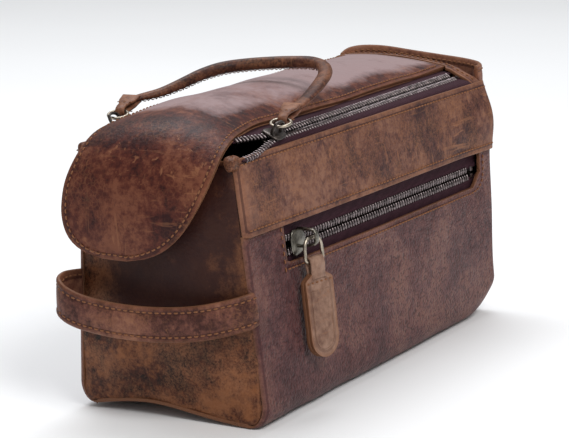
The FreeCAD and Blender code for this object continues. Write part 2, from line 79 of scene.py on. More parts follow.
POCKET_LOW, POCKET_HIGH, POCKET_CHAIN_Z = 70.0, 84.5, 77.2
POCKET_LIP = 82.0
POCKET_SLIDER_X = -80.5
POCKET_PIVOT = 9.6
POCKET_PIVOT_UP = 2.0
FAR_FROM_EDGES = 50.0


# ---- vectors ----
def vec(*c):
    return np.array(c, float)


def unit(v):
    v = np.asarray(v, float)
    return v / np.maximum(np.linalg.norm(v, axis=-1, keepdims=True), 1e-12)


def smooth(a, b, x):
    """0 up to a, 1 from b, and an S between them."""
    t = np.clip((np.asarray(x, float) - a) / (b - a), 0.0, 1.0)
    return t * t * (3 - 2 * t)


def spline(points, count, closed=False):
    """A Catmull-Rom line through the points, as count points spread evenly along it."""
    p = np.array(points, float)
    if closed:
        p = np.vstack([p[-1:], p, p[:2]])
    else:
        p = np.vstack([2 * p[0] - p[1], p, 2 * p[-1] - p[-2]])
    out = []
    for i in range(1, len(p) - 2):
        for t in np.linspace(0, 1, 24, endpoint=False):
            a, b, c, d = p[i - 1 : i + 3]
            square, cube = 2 * a - 5 * b + 4 * c - d, 3 * b - a - 3 * c + d
            out.append(0.5 * (2 * b + (c - a) * t + square * t**2 + cube * t**3))
    if not closed:
        out.append(p[-2])
    return resample(np.array(out), count, closed)


def resample(line, count, closed=False):
    """The line again as count points an equal way apart."""
    line = np.asarray(line, float)
    if closed:
        line = np.vstack([line, line[:1]])
    run = np.concatenate([[0], np.cumsum(np.linalg.norm(np.diff(line[:, :3], axis=0), axis=1))])
    at = np.linspace(0, run[-1], count, endpoint=not closed)
    return np.stack([np.interp(at, run, line[:, k]) for k in range(line.shape[1])], axis=1)


def length_of(line):
    return float(np.linalg.norm(np.diff(line, axis=0), axis=1).sum())


def wander(p, size, seed):
    """Smooth noise between -1 and 1 at a point, with features of about that size in mm."""
    return noise.noise(Vector(p) / size + Vector((seed * 7.3, seed * 3.1, seed)))


# ---- meshes ----
def mark(mesh, label, values):
    """A number for each vertex, which the materials read: away is the distance from a cut edge in mm."""
    data = mesh.attributes.get(label) or mesh.attributes.new(label, "FLOAT", "POINT")
    data.data.foreach_set("value", np.asarray(values).astype(np.float32))


def new_piece(name, verts, faces, material):
    """An object from vertices in mm."""
    mesh = bpy.data.meshes.new(name)
    mesh.from_pydata((np.asarray(verts, float) * MM).tolist(), [], [list(map(int, f)) for f in faces])
    mesh.shade_smooth()
    mesh.materials.append(material)
    mark(mesh, "away", np.full(len(verts), FAR_FROM_EDGES))
    piece = bpy.data.objects.new(name, mesh)
    bpy.context.scene.collection.objects.link(piece)
    return piece


def finish_piece(piece, body, bevel=0.0, subdivide=0, slot=None, stands_for=()):
    """Bakes the modifiers into the mesh, parents the piece to its body's empty when body is a name (a hinge
    tuple's parts are not used; the piece only has its transform baked), and hides the CAD parts it stands
    for.
    """
    if bevel:
        m = piece.modifiers.new("round", "BEVEL")
        m.width = bevel * MM
        m.segments = 2
        m.limit_method = "ANGLE"
        m.angle_limit = math.radians(50)
    if subdivide:
        m = piece.modifiers.new("soft", "SUBSURF")
        m.levels = m.render_levels = subdivide
    if bevel or subdivide:
        ready = piece.evaluated_get(bpy.context.evaluated_depsgraph_get())
        baked = bpy.data.meshes.new_from_object(ready)
        piece.modifiers.clear()
        piece.data = baked
        baked.shade_smooth()
    if isinstance(body, str):
        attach(piece, body)
    else:
        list(body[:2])
        tuple(c * MM for c in body[2])
        tuple(c * MM for c in body[3])
        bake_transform(piece)
    if stands_for:
        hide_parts(*stands_for)
    return piece


def grid_normals(p, flip=False):
    return unit(np.cross(np.gradient(p, axis=0), np.gradient(p, axis=1))) * (-1 if flip else 1)


def facing(p, out, at=(20, 20)):
    """A grid's normals, turned to the side of out at one of its points, and whether that flips them."""
    n = grid_normals(p)
    flip = bool(n[at] @ out < 0)
    return (-n if flip else n), flip


def sheet(name, p, thick, material, flip=False, keep=None, **how):
    """A leather or cloth ply from its outer face's grid of points, with its raw edges marked for wear."""
    n = grid_normals(p, flip)
    rows, cols = p.shape[:2]
    keep = np.ones((rows - 1, cols - 1), bool) if keep is None else keep
    inner = p - n * thick
    verts = np.vstack([p.reshape(-1, 3), inner.reshape(-1, 3)])
    half = rows * cols
    faces, border = [], set()

    def used(i, j):
        return 0 <= i < rows - 1 and 0 <= j < cols - 1 and keep[i, j]

    for i in range(rows - 1):
        for j in range(cols - 1):
            if not keep[i, j]:
                continue
            a, b, c, d = i * cols + j, (i + 1) * cols + j, (i + 1) * cols + j + 1, i * cols + j + 1
            quad = [a, b, c, d]
            faces.append(quad[::-1] if flip else quad)
            faces.append([k + half for k in (quad if flip else quad[::-1])])
            for (u, v), (di, dj) in (((a, b), (0, -1)), ((b, c), (1, 0)), ((c, d), (0, 1)),
                                     ((d, a), (-1, 0))):
                if not used(i + di, j + dj):
                    side = [v, u, u + half, v + half]
                    faces.append(side[::-1] if flip else side)
                    border.update((u, v))
    flat = p.reshape(-1, 3)
    edge = flat[sorted(border)]
    away = np.full(half, FAR_FROM_EDGES)
    for start in range(0, half, 2000):
        part = flat[start : start + 2000]
        away[start : start + 2000] = np.sqrt(((part[:, None] - edge[None]) ** 2).sum(-1)).min(1)
    away = np.concatenate([away, away])
    used_verts = sorted({k for f in faces for k in f})
    order = {k: i for i, k in enumerate(used_verts)}
    piece = new_piece(name, verts[used_verts], [[order[k] for k in f] for f in faces], material)
    mark(piece.data, "away", away[used_verts])
    # bloom: a per-vertex mask of painted light (highlight, reflection and shade painted into the colour),
    # copied to both faces
    if "bloom" in how:
        mark(piece.data, "bloom", np.concatenate([how.pop("bloom").reshape(-1)] * 2)[used_verts])
    body = how.pop("body")
    return finish_piece(piece, body, **how)


def frames_along(line, up, closed=False):
    """Tangent, side and up at each point of a line, with up held near a given direction."""
    if closed:
        t = unit(np.roll(line, -1, axis=0) - np.roll(line, 1, axis=0))
    else:
        t = unit(np.gradient(line, axis=0))
    up = np.broadcast_to(np.asarray(up, float), line.shape)
    side = unit(np.cross(t, up))
    return t, side, np.cross(side, t)


def tube_faces(rings, around, closed=False, flip=False):
    """Quads between rings of points, with a cap at each end unless the rings close on themselves."""
    faces = []
    for i in range(rings if closed else rings - 1):
        k = (i + 1) % rings
        for j in range(around):
            l = (j + 1) % around
            quad = [i * around + j, i * around + l, k * around + l, k * around + j]
            faces.append([quad[0], *quad[:0:-1]] if flip else quad)
    if not closed:
        ends = [list(range(around))[::-1], [(rings - 1) * around + j for j in range(around)]]
        faces += [end[::-1] for end in ends] if flip else ends
    return faces


def chamfered(w, t, flat_w, flat_t):
    """A rectangle of half sizes w and t whose corners are cut back to flat_w and flat_t."""
    return [(-w, -flat_t), (-flat_w, -t), (flat_w, -t), (w, -flat_t), (w, flat_t), (flat_w, t), (-flat_w, t),
            (-w, flat_t)]


def sweep(name, line, outline, up, material, closed=False, **how):
    """A bar along a line. outline gives (side, up) offsets: one list, or one list for each point."""
    t, side, over = frames_along(line, up, closed)
    outline = np.asarray(outline, float)
    if outline.ndim == 2:
        outline = np.broadcast_to(outline, (len(line), *outline.shape))
    m = outline.shape[1]
    verts = line[:, None] + side[:, None] * outline[..., :1] + over[:, None] * outline[..., 1:]
    piece = new_piece(name, verts.reshape(-1, 3), tube_faces(len(line), m, closed), material)
    if "away" in how:
        mark(piece.data, "away", np.tile(np.asarray(how.pop("away"), float), len(line)))
    body = how.pop("body")
    return finish_piece(piece, body, **how)


def round_outline(radius, count):
    """Points of a circle."""
    a = np.linspace(0, 2 * math.pi, count, endpoint=False)
    return np.stack([np.cos(a), np.sin(a)], axis=1) * radius


def merged(name, groups, material, body, **how):
    """One piece from many small (verts, faces) groups."""
    verts, faces, base = [], [], 0
    for v, f in groups:
        verts.append(v)
        faces += [[k + base for k in face] for face in f]
        base += len(v)
    return finish_piece(new_piece(name, np.vstack(verts), faces, material), body, **how)


def thread(centre, along, over, length, radius):
    """One stitch: a short soft capsule whose ends dive into the leather."""
    side = np.cross(along, over)
    verts = []
    stations = ((-0.5, 0.35, -0.9), (-0.3, 0.95, 0.1), (0.0, 1.0, 0.35), (0.3, 0.95, 0.1), (0.5, 0.35, -0.9))
    for where, size, lift in stations:
        for k in range(6):
            a = k * math.pi / 3
            verts.append(
                centre
                + along * (where * length)
                + side * (math.cos(a) * size * radius)
                + over * ((math.sin(a) * size * 0.8 + lift) * radius)
            )
    return np.array(verts), tube_faces(len(stations), 6, flip=True)


def stitches(name, line, over, body, pitch=3.1, length=2.3, radius=0.42, lean=0.0):
    """A row of stitches along a line on a surface. over is the surface's outward direction at each point."""
    over = np.broadcast_to(np.asarray(over, float), line.shape)
    both = np.hstack([line, over])
    count = max(2, int(length_of(line) / pitch))
    both = resample(both, count)
    p, o = both[:, :3], unit(both[:, 3:])
    t = unit(np.gradient(p, axis=0))
    groups = []
    for i in range(len(p)):
        turn = lean if i % 2 else -lean
        along = t[i] * math.cos(turn) + np.cross(o[i], t[i]) * math.sin(turn)
        groups.append(thread(p[i] + o[i] * 0.05, unit(along), o[i], length, radius))
    return merged(name, groups, THREAD, body)


# ---- materials ----
class Nodes:
    """A short way to build a material's node tree."""

    def __init__(self, name):
        self.material = bpy.data.materials.new(name)
        self.material.use_nodes = True
        self.tree = self.material.node_tree
        self.shader = self.tree.nodes["Principled BSDF"]
        self.place = self.tree.nodes.new("ShaderNodeTexCoord").outputs["Object"]

    def node(self, kind, **values):
        n = self.tree.nodes.new("ShaderNode" + kind)
        for key, value in values.items():
            if key in n.inputs:
                self.put(n.inputs[key], value)
            else:
                setattr(n, key, value)
        return n

    def put(self, socket, value):
        if isinstance(value, bpy.types.NodeSocket):
            self.tree.links.new(value, socket)
        else:
            socket.default_value = value

    def mapped(self, scale, rotation=(0, 0, 0)):
        return self.node("Mapping", Vector=self.place, Scale=scale, Rotation=rotation).outputs["Vector"]

    def noise(self, scale, detail=4.0, rough=0.55, place=None, distortion=0.0):
        how = {"Scale": scale, "Detail": detail, "Roughness": rough, "Distortion": distortion}
        return self.node("TexNoise", Vector=place or self.place, **how).outputs["Fac"]

    def cells(self, scale, feature="F1"):
        return self.node("TexVoronoi", Vector=self.place, feature=feature, Scale=scale).outputs["Distance"]

    def ramp(self, fac, *stops):
        n = self.node("ValToRGB", Fac=fac)
        ramp = n.color_ramp
        while len(ramp.elements) < len(stops):
            ramp.elements.new(0.5)
        for element, (at, value) in zip(ramp.elements, stops):
            element.position = at
            element.color = (*value, 1) if isinstance(value, tuple) else (value, value, value, 1)
        return n.outputs["Color"]

    def math(self, operation, a, b=0.0, c=0.0):
        n = self.node("Math", operation=operation)
        for socket, value in zip(n.inputs, (a, b, c)):
            self.put(socket, value)
        return n.outputs["Value"]

    def times(self, a, b):
        return self.math("MULTIPLY", a, b)

    def times_plus(self, a, b, c):
        return self.math("MULTIPLY_ADD", a, b, c)

    def mix(self, fac, a, b):
        n = self.node("Mix", data_type="RGBA", blend_type="MIX")
        self.put(n.inputs["Factor"], fac)
        for socket, value in ((n.inputs[6], a), (n.inputs[7], b)):
            self.put(socket, (*value, 1) if isinstance(value, tuple) else value)
        return n.outputs[2]

    def attribute(self, name):
        return self.node("Attribute", attribute_name=name).outputs["Fac"]

    def bump(self, height, distance, strength=1.0, below=None):
        n = self.node("Bump", Height=height, Distance=distance * MM, Strength=strength)
        if below is not None:
            self.put(n.inputs["Normal"], below)
        return n.outputs["Normal"]

    def done(self, color, rough, normal=None, **constants):
        self.put(self.shader.inputs["Base Color"], (*color, 1) if isinstance(color, tuple) else color)
        self.put(self.shader.inputs["Roughness"], rough)
        if normal is not None:
            self.put(self.shader.inputs["Normal"], normal)
        for key, value in constants.items():
            self.shader.inputs[key.replace("_", " ")].default_value = value
        return self.material


TAN = (0.27, 0.112, 0.052)
RAW = (0.20, 0.085, 0.042)
# stretch and turn of each set of scratches
SCRATCHES = (
    ((420, 30, 420), (0.5, 0.2, 0.6)),
    ((380, 380, 26), (0.35, -0.5, 0.2)),
    ((30, 420, 420), (0.1, 0.6, -0.5)),
)


def leather(name, dark, mid, light, worn=0.5, scratch=0.35, pebble=0.0, wear=5.0, bloom=None, patch=26.0,
            edge_mix=0.75):
    """Waxed pull-up leather: patches, fine mottling, light scratches, tan where edges are rubbed."""
    m = Nodes(name)
    big = m.noise(patch, 3.0, 0.6, distortion=0.4)
    fine = m.noise(260, 6.0, 0.7)
    speck = m.noise(900, 4.0, 0.75)
    tone = m.times_plus(fine, 0.55, m.times(big, 0.6))
    color = m.ramp(tone, (0.475, dark), (0.575, mid), (0.69, light))
    # tan patches of real wear, spread by noise
    wear_and_painted_highlight = m.times(m.times(m.noise(48, 4, 0.65), speck), worn * 3.4)
    wear_and_painted_highlight = m.ramp(wear_and_painted_highlight, (0.42, 0.0), (0.85, 1.0))
    color = m.mix(m.times(wear_and_painted_highlight, 0.75), color, TAN)
    streaks = []
    for k, (scale, turn) in enumerate(SCRATCHES):
        field = m.noise(1.0, 3.0, 0.6, place=m.mapped(scale, turn), distortion=0.5)
        where = m.ramp(m.noise(22 + 9 * k, 2.0, 0.5), (0.45, 0.0), (0.62, 1.0))
        streaks.append(m.times(m.ramp(field, (0.60, 0.0), (0.68, 1.0)), where))
    marks = m.math("MAXIMUM", m.math("MAXIMUM", streaks[0], streaks[1]), streaks[2])
    color = m.mix(m.times(marks, scratch), color, tuple(c * 1.1 for c in TAN))
    creased = m.ramp(m.noise(34, 3.0, 0.6), (0.46, 0.0), (0.62, 1.0))
    crease = m.times(m.ramp(m.cells(420, "DISTANCE_TO_EDGE"), (0.0, 1.0), (0.14, 0.0)), creased)
    color = m.mix(m.times(crease, 0.05 + scratch * 0.3), color, TAN)
    height = m.times_plus(m.noise(1500, 3.0, 0.7), 0.5, m.times(m.cells(700), 0.6))
    if pebble:
        cells = m.cells(780)
        pits = m.ramp(cells, (0.0, 1.0), (0.5, 0.55), (0.85, 0.0))
        color = m.mix(m.times(m.ramp(cells, (0.55, 0.0), (0.8, 1.0)), pebble), color,
                      tuple(c * 0.45 for c in dark))
        height = m.times_plus(pits, 1.2, m.times(height, 0.4))
    # painted light: the colour is mixed toward the bloom colour where the mesh's bloom mask is high, with
    # noise roughening the patch's rim; it is a painted highlight on the walls, a painted reflection on the
    # lid and painted shade on the end panels
    if bloom:
        cloudy = m.times_plus(m.noise(42, 6, 0.72), 1.5, -0.75)
        painted_light_share = m.times_plus(m.attribute("bloom"), 0.95, cloudy)
        color = m.mix(m.ramp(painted_light_share, (0.30, 0.0), (0.85, 0.93)), color, bloom)
    away = m.attribute("away")
    ragged = m.times_plus(m.noise(120, 4, 0.7), wear * 1.6, m.times(away, -1.0))
    rim = m.ramp(m.times_plus(ragged, 0.28, 0.35), (0.0, 0.0), (0.75, 1.0))
    color = m.mix(m.times(rim, edge_mix), color,
                  m.mix(m.noise(420, 4, 0.7), tuple(c * 0.72 for c in TAN), TAN))
    groove = m.math("LESS_THAN", m.math("ABSOLUTE", m.math("ADD", away, -STITCH_IN)), 0.55)
    color = m.mix(m.times(groove, 0.6), color, dark)
    raw = m.math("LESS_THAN", away, 0.12)
    color = m.mix(m.times(raw, 0.85), color, m.mix(m.noise(700, 3, 0.7), RAW, tuple(c * 0.7 for c in RAW)))
    rough = m.times_plus(m.noise(90, 5, 0.7), 0.30, 0.33)
    normal = m.bump(m.noise(55, 4, 0.6), 0.7, 0.55)
    normal = m.bump(height, 0.26 if pebble else 0.13, 0.9, normal)
    normal = m.bump(marks, 0.08, 0.5, normal)
    return m.done(color, rough, normal, Specular_IOR_Level=0.22)


def metal(name, color, rough, dirt):
    """Worn metal with darker stains: dirt is how dark they are."""
    m = Nodes(name)
    stain = m.noise(420, 5, 0.7)
    tint = m.ramp(stain, (0.36, tuple(c * dirt for c in color)), (0.62, color))
    normal = m.bump(m.noise(1600, 3, 0.6), 0.03, 0.6)
    return m.done(tint, m.times_plus(stain, 0.25, rough - 0.1), normal, Metallic=1.0)


def cloth(name, color, light, scale=1.0, rough=0.85):
    """A woven cloth with a herringbone rib."""
    m = Nodes(name)
    ribs = []
    for turn, distortion in (((0.5, 0.3, 0.7), 1.5), ((-0.6, 0.2, -0.8), 0.0)):
        wave = m.node("TexWave", Vector=m.mapped((1, 1, 1), turn), wave_type="BANDS", Scale=420 * scale)
        wave.inputs["Distortion"].default_value = distortion
        ribs.append(wave.outputs["Fac"])
    weave = m.times(*ribs)
    tint = m.mix(m.times_plus(weave, 0.7, m.times(m.noise(300, 3), 0.3)), color, light)
    return m.done(tint, rough, m.bump(weave, 0.18, 0.9), Specular_IOR_Level=0.2)


# the flap leather's bloom colour is a greyish painted reflection of the studio light on the lid
FLAP = leather("flap_leather_look", (0.024, 0.003, 0.003), (0.078, 0.016, 0.009), (0.165, 0.054, 0.028),
               worn=0.36, scratch=0.55, wear=0.8, bloom=(0.31, 0.215, 0.215), patch=30, edge_mix=0.5)
# the band leather's bloom colour is a painted highlight at the near end's corner
BAND = leather("band_leather", (0.030, 0.007, 0.008), (0.092, 0.031, 0.023), (0.215, 0.098, 0.062), worn=0.62,
               scratch=0.6, wear=0.9, edge_mix=0.6, bloom=(0.27, 0.125, 0.078))
# the pebbled leather's bloom colour is a painted highlight at the near end's corner
PEBBLED = leather("pebbled_leather", (0.052, 0.016, 0.017), (0.100, 0.036, 0.035), (0.170, 0.076, 0.060),
                  worn=0.34, scratch=0.1, pebble=0.6, wear=0.8, edge_mix=0.5, bloom=(0.18, 0.080, 0.062))
# the end leather's bloom colour is near black: painted shade on the end panels
END = leather("end_leather", (0.006, 0.0008, 0.0005), (0.062, 0.015, 0.006), (0.21, 0.074, 0.026), worn=0.66,
              scratch=0.3, wear=0.7, bloom=(0.024, 0.005, 0.004), patch=34, edge_mix=0.5)
STRAP = leather("strap_leather", (0.042, 0.011, 0.008), (0.130, 0.046, 0.033), (0.25, 0.108, 0.066), worn=0.5,
                scratch=0.4, wear=0.7, edge_mix=0.6)
ROLL = leather("roll_leather", (0.014, 0.003, 0.002), (0.060, 0.018, 0.011), (0.160, 0.062, 0.034), worn=0.6,
               scratch=0.4, wear=0.1)
LEG = leather("leg_leather", (0.060, 0.020, 0.012), (0.140, 0.056, 0.032), (0.26, 0.12, 0.07), worn=0.6,
              scratch=0.5, wear=0.1)
TAGGED = leather("tag_leather", (0.135, 0.066, 0.044), (0.225, 0.125, 0.085), (0.31, 0.185, 0.13), worn=0.4,
                 scratch=0.4, wear=0.9)
BACKING = leather("backing_leather", (0.10, 0.042, 0.027), (0.19, 0.092, 0.056), (0.30, 0.16, 0.10), worn=0.4,
                  scratch=0.2, wear=1.0)
TAPE_LOOK = cloth("zipper_tape_look", (0.018, 0.004, 0.008), (0.080, 0.030, 0.042))
LINING_LOOK = cloth("lining_look", (0.014, 0.009, 0.008), (0.075, 0.050, 0.040), 0.7)
THREAD = cloth("thread_look", (0.24, 0.095, 0.042), (0.42, 0.20, 0.10), 4.0, 0.7)
TEETH_LOOK = metal("teeth_metal", (0.31, 0.255, 0.255), 0.30, 0.2)
SLIDER_LOOK = metal("slider_metal", (0.12, 0.10, 0.09), 0.34, 0.4)
RING_LOOK = metal("ring_metal", (0.52, 0.45, 0.36), 0.32, 0.5)
POCKET_METAL = metal("pocket_metal", (0.27, 0.25, 0.21), 0.32, 0.35)
BOARD_LOOK = cloth("board_look", (0.16, 0.13, 0.10), (0.24, 0.20, 0.16), 0.5)


# ---- the body's surfaces ----
def wall_out(side, x, up):
    """How far the wall stands from the centre plane, as in the CAD model."""
    share = (x - NEAR_X) / (FAR_X - NEAR_X)
    band, top = [HALF_DEPTH - (a + (b - a) * share) for a, b in LEAN[side]]
    low = HALF_DEPTH + (band - HALF_DEPTH) * (up - CORNER_UP) / (BAND_HEIGHT - CORNER_UP)
    high = band + (top - band) * (up - BAND_HEIGHT) / (SIDE_HEIGHT - BAND_HEIGHT)
    return np.where(up <= BAND_HEIGHT, low, high)


def settle(p):
    """The whole shell's sag: the near end's base arches, and the far end's base is lifted and rounded."""
    x, y, z = p[..., 0], p[..., 1], p[..., 2]
    arch = 5.5 * np.exp(-(((x - NEAR_X) / 34) ** 2) - (z / 16) ** 2 - ((y - 12) / 30) ** 2)
    lift = 11.0 * np.clip((x - 96) / 31, 0, 1) ** 2.2 * np.exp(-((z / 24) ** 2))
    q = p.copy()
    q[..., 2] = z + arch + lift
    return q


def soften(p, n, amount, size, seed):
    """Lifts each point along its normal by smooth noise."""
    flat, normals = p.reshape(-1, 3), n.reshape(-1, 3)
    push = np.array([wander(tuple(q), size, seed) for q in flat]) * amount
    return (flat + normals * push[:, None]).reshape(p.shape)


def turned_in(distance, radius):
    """How far a surface falls back near a seam, at a distance from it."""
    d = np.clip(distance, 0, radius)
    return radius - np.sqrt(np.maximum(radius**2 - (radius - d) ** 2, 0))


def wall_surface(side, x, s):
    """The wall's outer face. s runs up from the base seam, and is the height plus 12 mm above the corner."""
    x, s = np.broadcast_arrays(np.asarray(x, float), np.asarray(s, float))
    t = np.clip((s - 8) / 15, 0, 1) * math.pi / 2
    out = np.where(s < 8, SEAM_OUT + s, CORNER_OUT + 8 * np.sin(t))
    z = np.where(s < 8, 0.0, CORNER_UP * (1 - np.cos(t)))
    high = s > 23
    z = np.where(high, s - 12, z)
    out = np.where(high, wall_out(side, x, z), out)
    belly = np.sin(np.clip((x - NEAR_X) / 254, 0, 1) * math.pi) * np.sin(np.clip(z / 123, 0, 1) * math.pi)
    shoulder = np.exp(-(((z - 106) / 14) ** 2)) * smooth(60, 124, x) * 3.4
    hip = 1.2 * smooth(90, 124, x) * smooth(20, 60, z) * (1 - smooth(95, 123, z))
    out = out + belly * 1.6 + shoulder + hip
    end = np.minimum(x - NEAR_X, FAR_X - x)
    radius = np.where(x > 0, 3.6, 3.0)
    out = out - 0.8 * turned_in(end, radius)
    p = np.stack([x, OUTWARD[side] * out, z], axis=-1)
    return settle(p)


def stations_x(step=3.2):
    """Places along the bag, closer together near its ends."""
    ends = np.array([0, 0.5, 1.1, 1.9, 3.0])
    middle = np.linspace(NEAR_X + 4.5, FAR_X - 4.5, int((FAR_X - NEAR_X) / step))
    return np.concatenate([NEAR_X + ends, middle, FAR_X - ends[::-1]])


def base_grid(ys, xs, z):
    """A level grid over the base, sagged with the shell."""
    y, x = np.meshgrid(ys, xs, indexing="xy")
    return settle(np.stack([x, y, np.full_like(x, z)], axis=-1))


def build_walls():
    """Lower panels, bands and base."""
    for side in ("front", "back"):
        flip = side == "back"
        xs = stations_x()
        if side == "front":
            xs = xs[(np.abs(xs - POCKET_NEAR_X) > 1.2) & (np.abs(xs - POCKET_FAR_X) > 1.2)]
            xs = np.sort(np.concatenate([xs, [POCKET_NEAR_X, POCKET_FAR_X]]))
        ss = np.concatenate([np.linspace(0, 8, 4), np.linspace(9.5, 23, 9), np.linspace(26, 79, 18),
                             [80.6, 82.0, 84.5, 88, 92, 96, 100]])
        x, s = np.meshgrid(xs, ss, indexing="ij")
        keep = None
        if side == "front":
            lip = int(np.argmin(np.abs(ss - POCKET_LIP)))
            rise = 7.0 * np.where(xs <= 112.01, smooth(103, 112, xs), 1 - smooth(112, 118, xs))
            in_pocket = xs > POCKET_NEAR_X - 0.5
            rise = rise + 1.2 * (1 - smooth(POCKET_NEAR_X, POCKET_NEAR_X + 4, xs)) * in_pocket
            fade = np.clip(1 - np.abs(ss - ss[lip]) / 22, 0, 1)
            s = s + rise[:, None] * fade[None]
            keep = np.ones((len(xs) - 1, len(ss) - 1), bool)
            mid = (xs[:-1] + xs[1:]) / 2
            keep[np.ix_((mid > POCKET_NEAR_X) & (mid < POCKET_FAR_X), np.arange(len(ss) - 1) >= lip)] = False
        p = wall_surface(side, x, s)
        n = grid_normals(p, flip)
        p = soften(p, n, 0.6, 30, 3 if flip else 1)
        # painted highlight: the lower skin is painted lighter towards the near end's corner, where the light
        # falls on it
        wear_and_painted_highlight = smooth(-98, NEAR_X, x) * 0.5
        sheet(side + "_lower_skin", p, LEATHER, PEBBLED, flip=flip, keep=keep, body="root", bevel=0.45,
              slot="pebbled_leather", stands_for=(side + "_lower_panel",), bloom=wear_and_painted_highlight)
        ss = np.concatenate([[99.5, 100.1, 101.2], np.linspace(103.5, 131, 14), [133.2, 134.4, 135.0]])
        x, s = np.meshgrid(xs, ss, indexing="ij")
        p = wall_surface(side, x, s)
        n = grid_normals(p, flip)
        p = soften(p + n * LEATHER * vec(0, 1, 1), n, 0.45, 24, 5 if flip else 2)
        # painted highlight: the band is painted lighter towards the near end's corner, where the light falls
        # on it
        wear_and_painted_highlight = smooth(-104, NEAR_X, x) * 0.5
        sheet(side + "_band_skin", p, LEATHER, BAND, flip=flip, body="root", bevel=0.5, slot="crazy_leather",
              bloom=wear_and_painted_highlight, stands_for=(side + "_yoke",))
        for k, s_row in enumerate((102.6, 132.2)):
            row = wall_surface(side, np.linspace(NEAR_X + 3, FAR_X - 4, 220), s_row)
            row = row + vec(0, OUTWARD[side] * (LEATHER + 0.1), 0.15)
            stitches(f"{side}_band_stitches_{k}", row, vec(0, OUTWARD[side], 0.12), "root")
    p = base_grid(np.linspace(-SEAM_OUT - 1, SEAM_OUT + 1, 26), stations_x(6.0), 0.0)
    sheet("base_skin", p, LEATHER, BAND, flip=True, body="root", bevel=0.4, slot="crazy_leather",
          stands_for=("base_panel",))
    for k, y_row in enumerate((-SEAM_OUT, SEAM_OUT)):
        xs = np.linspace(NEAR_X + 4, FAR_X - 4, 160)
        row = settle(np.stack([xs, np.full_like(xs, y_row * 1.06), np.full_like(xs, 0.05)], axis=-1))
        stitches(f"base_stitches_{k}", row, vec(0, 0, -1), "root", radius=0.3)


def end_limits(x, z):
    """Where an end panel meets the side walls at a height."""
    corner = CORNER_OUT + 8 * np.sqrt(np.clip(1 - ((CORNER_UP - z) / CORNER_UP) ** 2, 0, 1))
    front = np.where(z < CORNER_UP, corner, wall_out("front", x, z))
    back = np.where(z < CORNER_UP, corner, wall_out("back", x, z))
    return -front, back


def build_linings():
    """The stiffener on the base and the cloth linings, which follow the shell's sag."""
    board = base_grid(np.linspace(-40, 40, 20), np.linspace(NEAR_X + 9, FAR_X - 9, 60), 1.95)
    sheet("base_board", board, BOARD, BOARD_LOOK, flip=True, body="root", bevel=0.2, slot="board",
          stands_for=("base_stiffener",))
    floor = base_grid(np.linspace(-43, 43, 20), np.linspace(NEAR_X + 7.6, FAR_X - 7.6, 60), 3.4)
    sheet("base_lining_cloth", floor, LINING, LINING_LOOK, flip=True, body="root", bevel=0.1,
          slot="lining_fabric", stands_for=("base_lining",))
    up = np.linspace(4.2, 119, 40)
    for side in ("front", "back"):
        x, z = np.meshgrid(np.linspace(NEAR_X + 7.2, FAR_X - 7.2, 70), up, indexing="ij")
        y = OUTWARD[side] * (wall_out(side, x, np.maximum(z, CORNER_UP)) - LINING_INSET)
        p = settle(np.stack([x, y, z], axis=-1))
        p = soften(p, grid_normals(p), 0.5, 26, 31)
        sheet(side + "_lining_cloth", p, LINING, LINING_LOOK, flip=side == "back", body="root", bevel=0.1,
              slot="lining_fabric", stands_for=(side + "_lining",))
    for end, x0, sign in (("near", NEAR_X, -1.0), ("far", FAR_X, 1.0)):
        x = x0 - sign * 6.6
        u, z = np.meshgrid(np.linspace(0, 1, 24), up[:-1], indexing="ij")
        high = np.maximum(z, CORNER_UP)
        low_y = LINING_INSET - wall_out("front", x, high)
        high_y = wall_out("back", x, high) - LINING_INSET
        p = settle(np.stack([np.full_like(u, x), low_y + (high_y - low_y) * u, z], axis=-1))
        _, flip = facing(p, vec(sign, 0, 0), (12, 20))
        sheet(end + "_end_lining_cloth", p, LINING, LINING_LOOK, flip=flip, body="root", bevel=0.1,
              slot="lining_fabric", stands_for=(end + "_end_lining",))


def build_ends():
    """The two end panels. The far one rises to a rounded top."""
    for end, x0, sign in (("near", NEAR_X, -1.0), ("far", FAR_X, 1.0)):
        zs = np.concatenate([[0, 0.3, 1.0, 2.0, 3.5, 5.5, 8, 11], np.linspace(15, 116, 30),
                             [118.5, 120.4, 121.6]])
        us = np.concatenate([[-1, -0.995, -0.985, -0.968, -0.945], np.linspace(-0.9, 0.9, 31),
                             [0.945, 0.968, 0.985, 0.995, 1]])
        u, z = np.meshgrid(us, zs, indexing="ij")
        low, high = end_limits(x0, z)
        y = (low + high) / 2 + u * (high - low) / 2 * 0.985
        if end == "far":
            top = 121.4 + 9.6 * np.clip(1 - (np.abs(y - 5) / 33) ** 2.6, 0, 1)
            z = z * (1 + (top / 121.6 - 1) * smooth(70, 121, z))
        border = np.minimum(np.minimum((1 - np.abs(u)) * 47, z), 40)
        puff = smooth(0, 30, border) * (3.0 if end == "near" else 2.4) * (1 - 0.6 * smooth(95, 122, z))
        back_off = turned_in(border, 3.4) * 0.9
        x = x0 + sign * (puff - back_off)
        p = settle(np.stack([x, y, z], axis=-1))
        n, flip = facing(p, vec(sign, 0, 0))
        p = soften(p, n, 1.1, 24, 8 + sign)
        p = soften(p, n, 0.35, 9, 18 + sign)
        # painted shade: each end panel is painted darker across its middle from about 32 mm up, the shade
        # under the flap and lid
        bloom = np.exp(-(((y + 2) / 40) ** 6)) * smooth(32, 60, z)
        sheet(end + "_end_skin", p, LEATHER, END, flip=flip, body="root", bevel=0.4, slot="crazy_leather",
              bloom=bloom, stands_for=(end + "_end_panel",))


